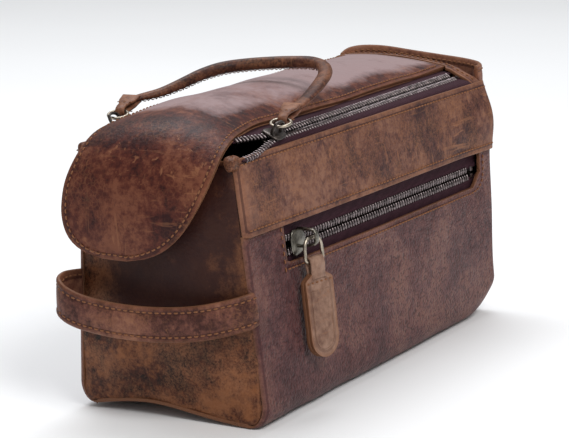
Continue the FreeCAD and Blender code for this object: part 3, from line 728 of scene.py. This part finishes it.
# ---- lid and flap ----
# Each station: x, z, turn of travel in degrees, low and high edge in y, rise of the back edge, crown.
LID_ROWS = [
    (115.6, 129.0, 180, -24.5, 34.0, 3.0, 2.4),
    (95, 129.0, 180, -24.6, 34.0, 3.0, 4.2),
    (50, 129.0, 180, -24.6, 34.0, 3.0, 6.6),
    (-15, 129.0, 180, -24.2, 34.0, 3.0, 7.8),
    (-55, 129.3, 180, -23.0, 34.2, 3.0, 8.0),
    (-80, 129.6, 180, -22.2, 34.5, 3.0, 7.8),
    (-100, 129.2, 182, -24.6, 35.0, 3.0, 7.4),
    (-113, 128.2, 188, -26.8, 36.4, 2.8, 6.8),
    (-124, 124.8, 206, -28.6, 39.5, 2.5, 6.0),
    (-132.5, 117.8, 230, -28.8, 42.8, 2.0, 5.0),
    (-137.5, 108.5, 252, -26.4, 46.2, 1.0, 4.0),
    (-139.8, 98.0, 264, -21.2, 47.6, 0.0, 3.0),
    (-140.6, 90.5, 269, -16.2, 46.6, 0.0, 2.2),
    (-140.8, 84.5, 270, -10.4, 44.2, 0.0, 1.6),
    (-140.8, 80.3, 270, -4.2, 40.4, 0.0, 1.2),
    (-140.7, 77.6, 271, 2.4, 35.6, 0.0, 0.9),
    (-140.6, 76.0, 271, 8.4, 30.4, 0.0, 0.7),
    (-140.5, 75.4, 271, 13.0, 26.0, 0.0, 0.6),
]


def lid_grid(shares, lift, reach=0.0):
    """Points of the lid's upper face, lifted by lift, with its edges moved in by reach."""
    table = spline([[r[0], r[1], math.radians(r[2]), *r[3:]] for r in LID_ROWS], 150)
    x, z, turn, low, high, tilt, crown = [table[:, k][:, None] for k in range(7)]
    low, high = low + reach, high - reach
    u = np.asarray(shares, float)[None]
    y = (low + high) / 2 + u * (high - low) / 2
    droop = 1 - np.abs(u) ** 2.2
    proud = tilt * (u + 1) / 2 + crown * droop + lift
    return np.stack([x + np.sin(turn) * proud, y, z - np.cos(turn) * proud], axis=-1)


def build_lid():
    """The lid and the flap: one leather sheet and one backing sheet, bent across the fold between them."""
    shares = np.concatenate([[-1, -0.985, -0.955], np.linspace(-0.9, 0.9, 33), [0.955, 0.985, 1]])
    p = lid_grid(shares, LEATHER)
    n, flip = facing(p, vec(0, 0, 1))
    p = soften(p, n, 0.9, 30, 4)
    x, y, z = p[..., 0], p[..., 1], p[..., 2]
    # painted reflection: the lid's top, away from the flap and behind its front strip, is painted greyer and
    # lighter, most towards the back, as a sheen of the studio light
    bloom = smooth(-118, -96, x) * smooth(-22, -8, y) * (0.75 + 0.25 * smooth(0, 25, y))
    bloom = np.clip(bloom + 0.25 * smooth(-30, 40, x) * smooth(-24, -14, y), 0, 1)
    hinge = ("lid", "flap", (-107.0, 0.0, 137.0), (-120.0, 0.0, 132.0))
    sheet("lid_and_flap_skin", p, LEATHER, FLAP, flip=flip, body=hinge, bevel=0.5, slot="crazy_leather",
          bloom=bloom, stands_for=("lid_leather", "flap_leather"))
    q = lid_grid(shares, -0.15, reach=0.7)
    q = soften(q, n, 0.7, 30, 4)
    sheet("lid_and_flap_backing", q, BACKING_PLY, BACKING, flip=flip, body=hinge, bevel=0.3,
          slot="lining_fabric", stands_for=("flap_lining", "lid_lining"))
    line, over = edge_line(p, n, STITCH_IN)
    stitches("lid_and_flap_stitches", line, over, hinge, pitch=3.0)


def edge_line(p, n, reach):
    """A line a little inside the sheet's two long edges and round its near end."""
    rim = np.vstack([p[:, 0], p[-1, 1:-1], p[::-1, -1]])
    over = np.vstack([n[:, 1], n[-2, 1:-1], n[::-1, -2]])
    both = resample(np.hstack([rim, over]), 420)
    rim, over = both[:, :3], unit(both[:, 3:])
    inward = unit(np.cross(over, unit(np.gradient(rim, axis=0))))
    if (inward[0] @ (p[0, 20] - p[0, 0])) < 0:
        inward = -inward
    line = rim + inward * reach
    for _ in range(6):
        line[1:-1] = (line[:-2] + line[1:-1] * 2 + line[2:]) / 4
    return line[4:-4], over[4:-4]


# ---- zippers ----
ZIP = {
    "front": {"out": 31.5, "up": 126.0, "slope": 24.4, "slider": -84.0},
    "back": {"out": 41.0, "up": 127.2, "slope": 33.0, "slider": -100.0},
}


def chain_frame(side, x):
    """Origin and directions of a main zipper at x: along, across towards the lid, and out."""
    z = ZIP[side]
    s = OUTWARD[side]
    slope = math.radians(z["slope"])
    origin = vec(x, s * z["out"], z["up"])
    to_lid = vec(0, -s * math.cos(slope), math.sin(slope))
    out = vec(0, s * math.sin(slope), math.cos(slope))
    return origin, vec(1, 0, 0), to_lid, out


def spread(side, x):
    """How far each row has drawn away from the middle line, towards the near end of the slider."""
    return 4.2 * smooth(ZIP[side]["slider"] + 2, ZIP[side]["slider"] - 34, x)


def tooth(centre, along, across, out):
    """One metal tooth: legs clamped on the tape's cord, and a narrower rounded head towards the middle."""
    # (distance from the middle, half width along the chain, half height)
    rings = ((0.30, 0.30, 0.55), (0.55, 0.46, 0.80), (1.3, 0.50, 0.95), (1.9, 0.62, 1.18), (3.2, 0.62, 1.12),
             (3.6, 0.40, 0.75))
    verts = []
    for away, w, h in rings:
        for a, b in chamfered(w, h, 0.6 * w, 0.6 * h):
            verts.append(centre + across * away + along * a + out * b)
    return np.array(verts), tube_faces(len(rings), 8)


def build_main_zippers():
    """Teeth, tapes and end folds of the two zippers along the top."""
    for side in ("front", "back"):
        s = OUTWARD[side]
        for row, sign, near, body in (("outer", -1.0, -122.0, "root"), ("inner", 1.0, -111.0, "lid")):
            groups = []
            for i in range(int((110.0 - near) / TOOTH_PITCH)):
                x = near + i * TOOTH_PITCH + (TOOTH_PITCH / 2 if sign < 0 else 0) + 0.65
                origin, along, to_lid, out = chain_frame(side, x)
                away = spread(side, x)
                drop = -0.35 * away if sign < 0 else -0.1 * away
                groups.append(tooth(origin + to_lid * sign * away + out * drop, along, to_lid * sign, out))
            node = f"{side}_{row}_teeth"
            merged(node + "_metal", groups, TEETH_LOOK, body, slot="antique_brass", stands_for=(node,))
        xs = np.concatenate([np.linspace(-124, -60, 34), np.linspace(-56, 114, 44)])
        outer, inner = [], []
        for x in xs:
            origin, along, to_lid, out = chain_frame(side, x)
            away = spread(side, x)
            cord = origin - to_lid * (2.4 + away) - out * 0.35 * away
            top = wall_surface(side, x, 134.6)
            under = wall_surface(side, x, 127.0) - vec(0, s * 0.6, 0)
            rim = top - vec(0, s * 0.6, -0.1)
            middle = cord * 0.45 + rim * 0.55 + vec(0, 0, 0.3)
            outer.append(spline([cord, cord - to_lid * 1.4, middle, rim, under], 12))
            if x > -113:
                cord = origin + to_lid * (2.4 + away) - out * 0.1 * away
                edge = lid_edge(side, x)
                goal = edge - vec(0, s * 7.0, -1.0)
                inner.append(spline([cord, cord + to_lid * 1.4, edge + vec(0, 0, -1.2),
                                     goal + vec(0, 0, -1.4)], 12))
        flip = side == "back"
        sheet(side + "_outer_tape_cloth", np.array(outer), TAPE, TAPE_LOOK, flip=flip, body="root",
              slot="zipper_tape", stands_for=(side + "_outer_tape",))
        sheet(side + "_inner_tape_cloth", np.array(inner), TAPE, TAPE_LOOK, flip=not flip, body="lid",
              slot="zipper_tape", stands_for=(side + "_inner_tape",))
        knob(side)


def lid_edge(side, x):
    """The lid's lower edge on one side, at x."""
    table = np.array([[r[0], r[1], r[3], r[4], r[5]] for r in LID_ROWS[:8]])[::-1]
    z, low, high, tilt = [np.interp(x, table[:, 0], table[:, k]) for k in (1, 2, 3, 4)]
    return vec(x, low, z) if side == "front" else vec(x, high, z + tilt)


def knob(side):
    """The folded leather tab over the tape's end, at the near end of a zipper."""
    centre = vec(-126.5, -33.5, 121.0) if side == "front" else vec(-125.5, 43.5, 121.5)
    verts = []
    rows, cols = 12, 16
    for i in range(rows + 1):
        a = math.pi * i / rows
        for j in range(cols):
            b = 2 * math.pi * j / cols
            d = vec(math.sin(a) * math.cos(b), math.sin(a) * math.sin(b), math.cos(a))
            d = np.sign(d) * np.abs(d) ** 0.75
            fold = 1 + 0.12 * math.sin(3 * b + 2 * a)
            verts.append(centre + d * vec(4.6, 3.4, 3.4) * fold)
    uncapped = tube_faces(rows + 1, cols, flip=True)[:-2]
    piece = new_piece(side + "_tape_end_fold", verts, uncapped, ROLL)
    finish_piece(piece, "root", subdivide=1, slot="crazy_leather")


def wire(name, line, radius, material, body, up, closed=False, **how):
    return sweep(name, line, round_outline(radius, 12), up, material, closed=closed, body=body, **how)


def plate_mesh(outline, low, high, origin, axes, round_over=0.45):
    """A flat plate with softened rims, in a frame's axes."""
    outline = np.array(outline, float)
    middle = outline.mean(0)
    rings = []
    for shrink, z in ((round_over, low), (0.0, low + round_over * 0.7), (0.0, high - round_over * 0.7),
                      (round_over, high)):
        d = unit(outline - middle)
        rings.append([(*q, z) for q in outline - d * shrink])
    verts = np.array([origin + axes[0] * a + axes[1] * b + axes[2] * c for ring in rings for a, b, c in ring])
    return verts, tube_faces(len(rings), len(outline))


def rail_mesh(inner, mouth, nose, origin, axes):
    """A slider's side rail, from its inner face to where it is widest at the mouth and the nose."""
    return plate_mesh([(-5.0, inner), (1.5, inner), (1.5, mouth), (-5.0, nose)], -1.5, 1.5, origin, axes, 0.1)


def slider_outline():
    """A slider's plan: wide shoulders at the open side, a rounded nose at the closed side."""
    half = [(-6.4, 0), (-6.2, 2.6), (-5.2, 4.3), (-3.0, 4.9), (0.5, 4.5), (3.2, 3.9), (5.4, 3.1), (6.4, 1.6),
            (6.6, 0)]
    pts = half + [(x, -y) for x, y in half[-2:0:-1]]
    return spline(pts, 30, closed=True)


def bar_mesh(line, wide, flat):
    """Verts and faces of a flat strip along a line. wide is the direction of its width."""
    w, t = flat[0] / 2, flat[1] / 2
    tangent = unit(np.gradient(line, axis=0))
    over = unit(np.cross(tangent, wide))
    corners = chamfered(w, t, w * 0.8, t * 0.4)
    verts = np.array([p + wide * a + o * b for p, o in zip(line, over) for a, b in corners])
    return verts, tube_faces(len(line), len(corners))


def build_sliders():
    """The top zippers' sliders. Their lower plates clasp the lid's side only."""
    for side in ("front", "back"):
        origin, along, to_lid, out = chain_frame(side, ZIP[side]["slider"])
        axes = (along, to_lid, out)
        path = [(-4.2, 2.2), (-4.1, 5.4), (-3.0, MAIN_PIVOT + 2.0), (0, MAIN_PIVOT + 2.6),
                (3.0, MAIN_PIVOT + 2.0), (4.1, 5.4), (4.2, 2.2)]
        line = np.array([origin + along * a + out * b for a, b in spline(path, 26)])
        outline = slider_outline()
        lid_half = np.array([(a, max(b, 0.3)) for a, b in outline])
        groups = [plate_mesh(outline, 1.4, 2.5, origin, axes), plate_mesh(lid_half, -2.4, -1.4, origin, axes)]
        groups.append(rail_mesh(3.75, 4.55, 4.7, origin, axes))
        bail = new_piece(side + "_slider_metal_bail", *bar_mesh(line, to_lid, (1.6, 1.0)), SLIDER_LOOK)
        finish_piece(bail, side + "_slider", bevel=0.2, slot="antique_brass")
        merged(side + "_slider_metal", groups, SLIDER_LOOK, side + "_slider", slot="antique_brass",
               stands_for=(side + "_slider_body",))


# ---- handle ----
def handle_axes():
    """The front pivot, across to the back one, along the handle, out of its plane, and the span."""
    pivots = []
    for side in ("front", "back"):
        origin, _, _, out = chain_frame(side, ZIP[side]["slider"])
        pivots.append(origin + out * MAIN_PIVOT)
    across = unit(pivots[1] - pivots[0])
    lean = vec(0.95, 0.19, 0.237)
    along = unit(lean - across * (lean @ across))
    return pivots[0], across, along, np.cross(across, along), float(np.linalg.norm(pivots[1] - pivots[0]))


def build_handle():
    """The rolled handle with its tabs, and the two rings that join it to the sliders."""
    origin, across, along, out, span = handle_axes()

    def at(points):
        q = np.array(points, float)
        lift = q[:, 2:3] if q.shape[1] > 2 else 0.0
        return origin + across * q[:, :1] + along * q[:, 1:2] + out * lift

    roll = spline([(-0.6, 19), (-2.8, 27), (-4.4, 38), (-5.1, 52), (-4.6, 64), (-1.0, 73.4), (5.6, 77.6),
                   (14, 77.4), (24, 75.6), (36, 72.0), (47, 66.4), (55, 57), (61.5, 44), (68, 33),
                   (span - 3.4, 25.5), (span, 20)], 150)
    line = at(roll)
    run = np.linspace(0, 1, len(line))
    # half width in the handle's plane and half thickness across it, as shares of the run
    at_run = (0, 0.05, 0.18, 0.30, 0.38, 0.5, 0.68, 0.80, 0.92, 1.0)
    half_wide = np.interp(run, at_run, (2.3, 3.2, 3.5, 3.5, 3.2, 2.9, 2.9, 2.7, 2.6, 2.2))
    half_thick = np.interp(run, at_run, (1.1, 1.5, 1.8, 2.3, 2.8, 2.9, 2.9, 2.6, 1.8, 1.3))
    angles = np.linspace(0, 2 * math.pi, 16, endpoint=False)
    shape = []
    for w, t in zip(half_wide, half_thick):
        ring = np.stack([np.cos(angles) * w, np.sin(angles) * t], axis=1)
        ring[:, 1] += np.exp(-(((angles - math.pi / 2) / 0.22) ** 2)) * 0.35
        shape.append(ring)
    sweep("handle_skin", line, shape, out, ROLL, body="handle", slot="strap_leather",
          stands_for=("handle_roll", "handle_core"))
    t, side, over = frames_along(line, out)
    top = line + over * (half_thick[:, None] + 0.42)
    for k, shift in enumerate((-0.62, 0.62)):
        stitches(f"handle_stitches_{k}", (top + side * shift)[4:-4], over[4:-4], "handle", pitch=2.0,
                 length=1.9, radius=0.3, lean=0.62 if k else -0.62)
    for name, x, node in (("front", 0.0, "front_handle_tab"), ("back", span, "back_handle_tab")):
        # one strip, folded round the ring: up one side, round the wire and back down the other
        loop = [(0, 24, 1.35), (0, 18, 1.45), (0, 13, 1.7), (0, 9.4, 1.9), (0, 7.3, 1.2), (0, 6.9, 0),
                (0, 7.3, -1.2), (0, 9.4, -1.9), (0, 13, -1.7), (0, 18, -1.45), (0, 24, -1.35)]
        path = at([(x + a, b, c) for a, b, c in spline(loop, 60)])
        widths = np.interp(np.linspace(0, 1, 60), (0, 0.17, 0.33, 0.67, 0.83, 1),
                           (4.4, 4.0, 2.2, 2.2, 4.0, 4.4))
        rings = [chamfered(w, 0.6, w * 0.92, 0.35) for w in widths]
        t = unit(np.gradient(path, axis=0))
        normal = np.cross(t, across)
        sweep(name + "_tab_strip", path, rings, normal, LEG, body="handle", slot="strap_leather",
              stands_for=(node,))
        for k, lift in enumerate((1, -1)):
            row = at([(x + a, 14.2, lift * 2.25) for a in np.linspace(-2.9, 2.9, 12)])
            stitches(f"{name}_tab_stitches_{k}", row, out * lift, "handle", pitch=1.9, length=1.5, radius=0.3)
        circle = round_outline(RING_R, 48)
        ring_line = at([(x + a, RING_R + b, 0) for a, b in circle])
        wire(name + "_ring_wire", ring_line, WIRE_R, RING_LOOK, name + "_ring", up=out, closed=True,
             slot="antique_brass", stands_for=(name + "_ring",))


# ---- straps ----
NEAR_STRAP = [(-125.4, 47.6, 57.0), (-131, 49.6, 57.4), (-137.5, 50.3, 57.6), (-142.8, 49.0, 56.2),
              (-146.0, 44.0, 53.2), (-147.2, 34.0, 50.5), (-147.0, 16.0, 48.6), (-145.0, -4.0, 48.4),
              (-141.2, -22.0, 50.0), (-135.5, -36.0, 53.0), (-130, -42.6, 55.0), (-125.6, -44.2, 56.0)]
FAR_STRAP = [(125.6, 40.4, 124.8), (131, 40.9, 125.6), (136.5, 39.0, 126.8), (140.6, 33.0, 127.4),
             (142.8, 23.0, 127.2), (143.9, 9.0, 125.8), (143.9, -8.0, 124.4), (142.3, -22.0, 123.6),
             (139.0, -31.6, 123.0), (134.6, -36.2, 122.6), (130.0, -37.8, 122.4), (125.8, -38.0, 122.2)]


def build_straps():
    """The grab straps on the two ends."""
    for name, points in (("near", NEAR_STRAP), ("far", FAR_STRAP)):
        line = spline(points, 110)
        h, t = STRAP_HALF_WIDTH, STRAP_HALF_THICK
        # the outer face from its rim to near its middle: a rounded rim, a stitch groove and a low crown
        half = [(t * 0.45, 0), (t, 0.9), (t, 2.2), (t * 0.78, 2.7), (t, 3.6), (t * 1.22, h - 3)]
        half_away = [0, 0.8, 2.0, 2.6, 3.4, 6]
        outline = [(-t * 0.45, -h)] + [(a, b - h) for a, b in half] + [(t * 1.3, 0)]
        outline += [(a, h - b) for a, b in half[::-1]]
        outline += [(-t * 0.45, h), (-t, h - 0.9), (-t, 0), (-t, -h + 0.9)]
        away = [0] + half_away + [8] + half_away[::-1] + [0, 0.8, 6, 0.8]
        t_dir = unit(np.gradient(line, axis=0))
        side = np.cross(t_dir, vec(0, 0, 1))
        if side[55, 0] * (-1 if name == "near" else 1) < 0:
            outline = [(-a, b) for a, b in outline][::-1]
            away = away[::-1]
            side = -side
        sweep(name + "_strap_skin", line, outline, vec(0, 0, 1), STRAP, body="root", subdivide=1,
              slot="strap_leather", stands_for=(name + "_grab_strap",), away=away)
        for k, z in enumerate((h - 2.6, -h + 2.6)):
            row = line + unit(side) * (t * 0.92) + vec(0, 0, z)
            stitches(f"{name}_strap_stitches_{k}", row[2:-2], unit(side)[2:-2], "root", pitch=3.0)
            row = line - unit(side) * t + vec(0, 0, z)
            stitches(f"{name}_strap_inner_stitches_{k}", row[2:-2], -unit(side)[2:-2], "root", pitch=3.0)


def build_far_top():
    """The strip across the far ends of the zippers, from one wall over the crown to the other."""
    rows = []
    drops = {113.2: 0.0, 113.8: 0.0, 115.5: 0.0, 118.5: 0.1, 121.5: 0.3, 124.2: 0.8, 126.2: 2.0, 127.3: 4.0,
             127.6: 6.5}
    for x, drop in drops.items():
        front = -wall_out("front", x, FAR_TOP_FOOT) - 0.6
        back = wall_out("back", x, FAR_TOP_FOOT) + 0.6
        line = [(front, FAR_TOP_FOOT), (front + 1.0, 123.8), (-32.5, 127.9), (-24.5, 130.9), (4.7, 134.6),
                (34.0, 133.6), (41, 129.8), (back - 1.0, 123.6), (back, FAR_TOP_FOOT)]
        pts = spline([(x, a, b - drop) for a, b in line], 46)
        rows.append(pts)
    p = np.array(rows)
    lead = 117.4
    covers = (np.abs(p[..., 1] - 4.7) < 30.0)
    share = np.clip((p[..., 0] - 113.2) / 14.4, 0, 1)
    p[..., 0] = np.where(covers, lead + share * 10.2, p[..., 0])
    n, flip = facing(p, vec(0, 0, 1), (4, 22))
    sheet("far_top_skin", p, 1.5, BAND, flip=flip, body="root", bevel=0.4, slot="crazy_leather",
          stands_for=("far_top_strip",))
    stitches("far_top_stitches", p[3, 3:-3] + n[3, 3:-3] * 0.1, n[3, 3:-3], "root", pitch=2.9)


# ---- pocket ----
def pocket_axes(x):
    """Origin and directions of the pocket zipper at x: along, up the wall, out."""
    ends = []
    for station in (POCKET_NEAR_X, POCKET_FAR_X):
        ends.append(vec(station, -(float(wall_out("front", station, POCKET_CHAIN_Z)) - 2.6), POCKET_CHAIN_Z))
    along = unit(ends[1] - ends[0])
    low = vec(0, -float(wall_out("front", 0.0, POCKET_LOW)), POCKET_LOW)
    high = vec(0, -float(wall_out("front", 0.0, POCKET_HIGH)), POCKET_HIGH)
    out = unit(np.cross(along, high - low))
    return ends[0] + along * ((x - POCKET_NEAR_X) / along[0]), along, np.cross(out, along), out


def build_pocket():
    """The pocket's zipper with its slider, pull ring and tag."""
    for row, sign in (("upper", 1.0), ("lower", -1.0)):
        groups = []
        for i in range(int((104.0 - POCKET_NEAR_X - 2.0) / TOOTH_PITCH)):
            x = POCKET_NEAR_X + 1.2 + i * TOOTH_PITCH + (0 if sign > 0 else TOOTH_PITCH / 2) + 0.65
            origin, along, up, out = pocket_axes(x)
            away = 1.5 * smooth(POCKET_SLIDER_X + 1, POCKET_SLIDER_X - 8, x)
            groups.append(tooth(origin + up * sign * away + out * 0.6, along, up * sign, out))
        merged(f"pocket_{row}_teeth_metal", groups, TEETH_LOOK, "root", slot="antique_brass",
               stands_for=(f"pocket_{row}_teeth",))
        rows = []
        for x in np.linspace(POCKET_NEAR_X - 6, 118, 60):
            origin, along, up, out = pocket_axes(x)
            away = 1.5 * smooth(POCKET_SLIDER_X + 1, POCKET_SLIDER_X - 8, x)
            shares = np.linspace(2.2 + away, 9.5, 8)
            rows.append([origin + up * sign * d + out * (0.3 + 0.35 * (d < 5)) for d in shares])
        sheet(f"pocket_{row}_tape_cloth", np.array(rows), TAPE, TAPE_LOOK, flip=sign < 0, body="root",
              slot="zipper_tape", stands_for=(f"pocket_{row}_tape",))
    line = [(x, 79.4) for x in np.linspace(POCKET_NEAR_X + 1, 101, 60)]
    line += [(108.6, 80.6), (113.6, 84.4), (115.2, 89.5), (115.4, 96.5)]
    pts = np.array([wall_surface("front", x, s) for x, s in spline(line, 200)])
    stitches("pocket_border_stitches", pts - vec(0, 0.25, 0), vec(0, -1, 0.1), "root")
    near = np.array([wall_surface("front", POCKET_NEAR_X - 2.6, s) for s in np.linspace(79.5, 98, 24)])
    stitches("pocket_near_stitches", near - vec(0, 0.25, 0), vec(0, -1, 0.1), "root")

    origin, along, up, out = pocket_axes(POCKET_SLIDER_X)
    axes = (along, up, out)
    top = POCKET_PIVOT + 1.7
    path = [(4.1, 2.3), (4.0, 6.2), (3.0, top), (0, top + 0.9), (-3.0, top), (-4.0, 6.2), (-4.1, 2.3)]
    bail = np.array([origin + up * (a + POCKET_PIVOT_UP) + out * b for a, b in spline(path, 30)])
    outline = slider_outline()
    groups = [plate_mesh(outline * [1.0, 1.25], 1.4, 2.7, origin, axes),
              plate_mesh(outline, -2.4, -1.4, origin, axes)]
    for sign in (-1, 1):
        groups.append(rail_mesh(sign * 3.95, sign * 4.7, sign * 4.9, origin, axes))
    groups.append(bar_mesh(bail, along, (2.6, 1.2)))
    merged("pocket_slider_metal", groups, POCKET_METAL, "pocket_slider", slot="antique_brass",
           stands_for=("pocket_slider_body",))

    turn = math.radians(12.0)
    lean = float(wall_out("front", POCKET_SLIDER_X, CORNER_UP) - wall_out("front", POCKET_SLIDER_X,
                                                                          BAND_HEIGHT))
    down = unit(vec(0, -lean, CORNER_UP - BAND_HEIGHT))
    side = -along * math.cos(turn) - out * math.sin(turn)
    face = unit(np.cross(side, down))
    side = np.cross(down, face)
    pivot = origin + out * POCKET_PIVOT + up * POCKET_PIVOT_UP

    def at(points):
        q = np.array(points, float)
        return pivot + side * q[:, :1] + down * q[:, 1:2] + face * q[:, 2:3]

    loop = [(0, 0), (3.4, 0.5), (5.4, 2.7), (5.9, 6), (5.5, 10.5), (0, 11.1), (-5.5, 10.5), (-5.9, 6),
            (-5.4, 2.7), (-3.4, 0.5)]
    loop = spline([(a, b, 0) for a, b in loop], 72, closed=True)
    wire("pocket_pull_wire", at(loop), PULL_WIRE_R, RING_LOOK, "pocket_ring", up=face, closed=True,
         slot="antique_brass", stands_for=("pocket_pull_ring",))
    build_tag(at, side, down, face)


def build_tag(at, side, down, face):
    """The leather pull: a neck folded round the loop, two plies and a stitch line across."""
    top, end, w = 11.0, 56.0, 9.5
    tip = end - w + w * np.sin(np.linspace(0.1, 1, 10) * math.pi / 2)
    rows = np.concatenate([np.linspace(top + 5.2, top + 9.5, 6), np.linspace(top + 11, end - w, 16), tip])
    shares = np.concatenate([[-1, -0.97, -0.9], np.linspace(-0.8, 0.8, 13), [0.9, 0.97, 1]])
    for name, lift in (("front", 1.55), ("back", -0.05)):
        grid = []
        for d in rows:
            half = 4.2 + (w - 4.2) * float(smooth(top + 5.0, top + 9.0, d))
            if d > end - w:
                half = w * math.sqrt(max(1 - ((d - end + w) / w) ** 2, 0.0004))
            if name == "back":
                half = half + 0.25
            grid.append([(half * s, d, lift) for s in shares])
        p = np.array([at(row) for row in grid])
        n, flip = facing(p, face, (10, 8))
        p = soften(p, n, 0.22, 7, 31 if name == "front" else 32)
        sheet(f"pocket_tag_{name}", p, TAG_PLY, TAGGED, flip=flip, body="pocket_tag", bevel=0.35,
              slot="strap_leather", stands_for=("pocket_pull_tag",) if name == "front" else ())
    loop = spline([(0, top + 8, 1.3), (0, top + 4, 1.5), (0, top + 1.5, 1.75), (0, top - 1.2, 1.3),
                   (0, top - 1.9, 0), (0, top - 1.2, -1.3), (0, top + 1.5, -1.6), (0, top + 4, -1.2),
                   (0, top + 8, -0.9)], 50)
    path = at(loop)
    neck = 4.7
    t = unit(np.gradient(path, axis=0))
    sweep("pocket_tag_neck", path, chamfered(neck, 0.6, neck - 0.3, 0.3), np.cross(t, side), TAGGED,
          body="pocket_tag", slot="strap_leather")
    row = at([(a, top + 9.6, 1.62) for a in np.linspace(-7.6, 7.6, 24)])
    stitches("pocket_tag_stitches", row, face, "pocket_tag", pitch=2.3, length=1.7, radius=0.34)
    r, lift = 6.4, 1.6
    curve = [(r * math.cos(a), end - 10 + r * math.sin(a), lift) for a in np.linspace(math.pi, 0, 14)]
    border = at([(-r, top + 13.5, lift), *curve, (r, top + 13.5, lift), (-r, top + 13.5, lift)])
    wire("pocket_tag_crease", resample(border, 90), 0.22, TAGGED, "pocket_tag", up=face)


# ---- carried-over nodes, stage, light and camera ----
def dress_nodes():
    """Materials for the CAD nodes that stay."""
    for name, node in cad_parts.items():
        if node.hide_render:
            continue
        look = TEETH_LOOK if "stop" in name else LINING_LOOK
        node.data.materials.clear()
        node.data.materials.append(look)


def build_stage():
    """White floor and white surroundings, which light the bag less than the camera sees them."""
    m = Nodes("floor_paper")
    tint = m.ramp(m.noise(3.0, 2.0), (0.3, (0.90, 0.90, 0.90)), (0.7, (0.92, 0.92, 0.92)))
    m.done(tint, 0.9)
    mesh = bpy.data.meshes.new("floor")
    size = 6.0
    mesh.from_pydata([(-size, -size, -0.0004), (size, -size, -0.0004), (size, size, -0.0004),
                      (-size, size, -0.0004)], [], [(0, 1, 2, 3)])
    mesh.materials.append(m.material)
    floor = bpy.data.objects.new("floor", mesh)
    bpy.context.scene.collection.objects.link(floor)
    world = bpy.data.worlds.new("studio")
    bpy.context.scene.world = world
    world.use_nodes = True
    tree = world.node_tree
    tree.nodes["Background"].inputs["Color"].default_value = (1.0, 1.0, 1.0, 1)
    seen = tree.nodes.new("ShaderNodeLightPath").outputs["Is Camera Ray"]
    level = tree.nodes.new("ShaderNodeMapRange")
    level.inputs["To Min"].default_value = 0.40
    level.inputs["To Max"].default_value = 1.0
    tree.links.new(seen, level.inputs["Value"])
    tree.links.new(level.outputs["Result"], tree.nodes["Background"].inputs["Strength"])
    bpy.context.scene.view_settings.view_transform = "Standard"


def area_light(name, place, target, size, power, color=(1, 1, 1)):
    light = bpy.data.lights.new(name, "AREA")
    light.shape = "RECTANGLE"
    light.size, light.size_y = size
    light.energy = power
    light.color = color
    lamp = bpy.data.objects.new(name, light)
    lamp.location = place
    lamp.rotation_euler = (Vector(target) - Vector(place)).to_track_quat("-Z", "Y").to_euler()
    bpy.context.scene.collection.objects.link(lamp)


def build_camera():
    """A long lens, from the near end and the front."""
    azimuth, elevation, roll = math.radians(-61.55), math.radians(11.93), math.radians(-0.62)
    distance = 1.29146
    target = Vector((0.0, 0.00899, 0.068))
    level = math.cos(elevation)
    away = Vector((math.sin(azimuth) * level, -math.cos(azimuth) * level, math.sin(elevation)))
    data = bpy.data.cameras.new("camera")
    data.lens = 164.5
    data.sensor_width = 36
    data.clip_end = 50
    camera = bpy.data.objects.new("camera", data)
    look = (-away).to_track_quat("-Z", "Y").to_matrix().to_4x4()
    camera.matrix_world = Matrix.Translation(target + away * distance) @ look @ Matrix.Rotation(roll, 4, "Z")
    bpy.context.scene.collection.objects.link(camera)
    bpy.context.scene.camera = camera


build_camera()
build_walls()
build_linings()
build_ends()
build_lid()
build_main_zippers()
build_sliders()
build_handle()
build_straps()
build_far_top()
build_pocket()
dress_nodes()
build_stage()
area_light("key", (-0.7, -1.1, 1.4), (0, 0, 0.07), (0.7, 0.7), 17)
area_light("top", (0.5, 0.5, 1.7), (0, 0, 0.1), (1.4, 0.8), 23, (0.93, 0.96, 1.0))
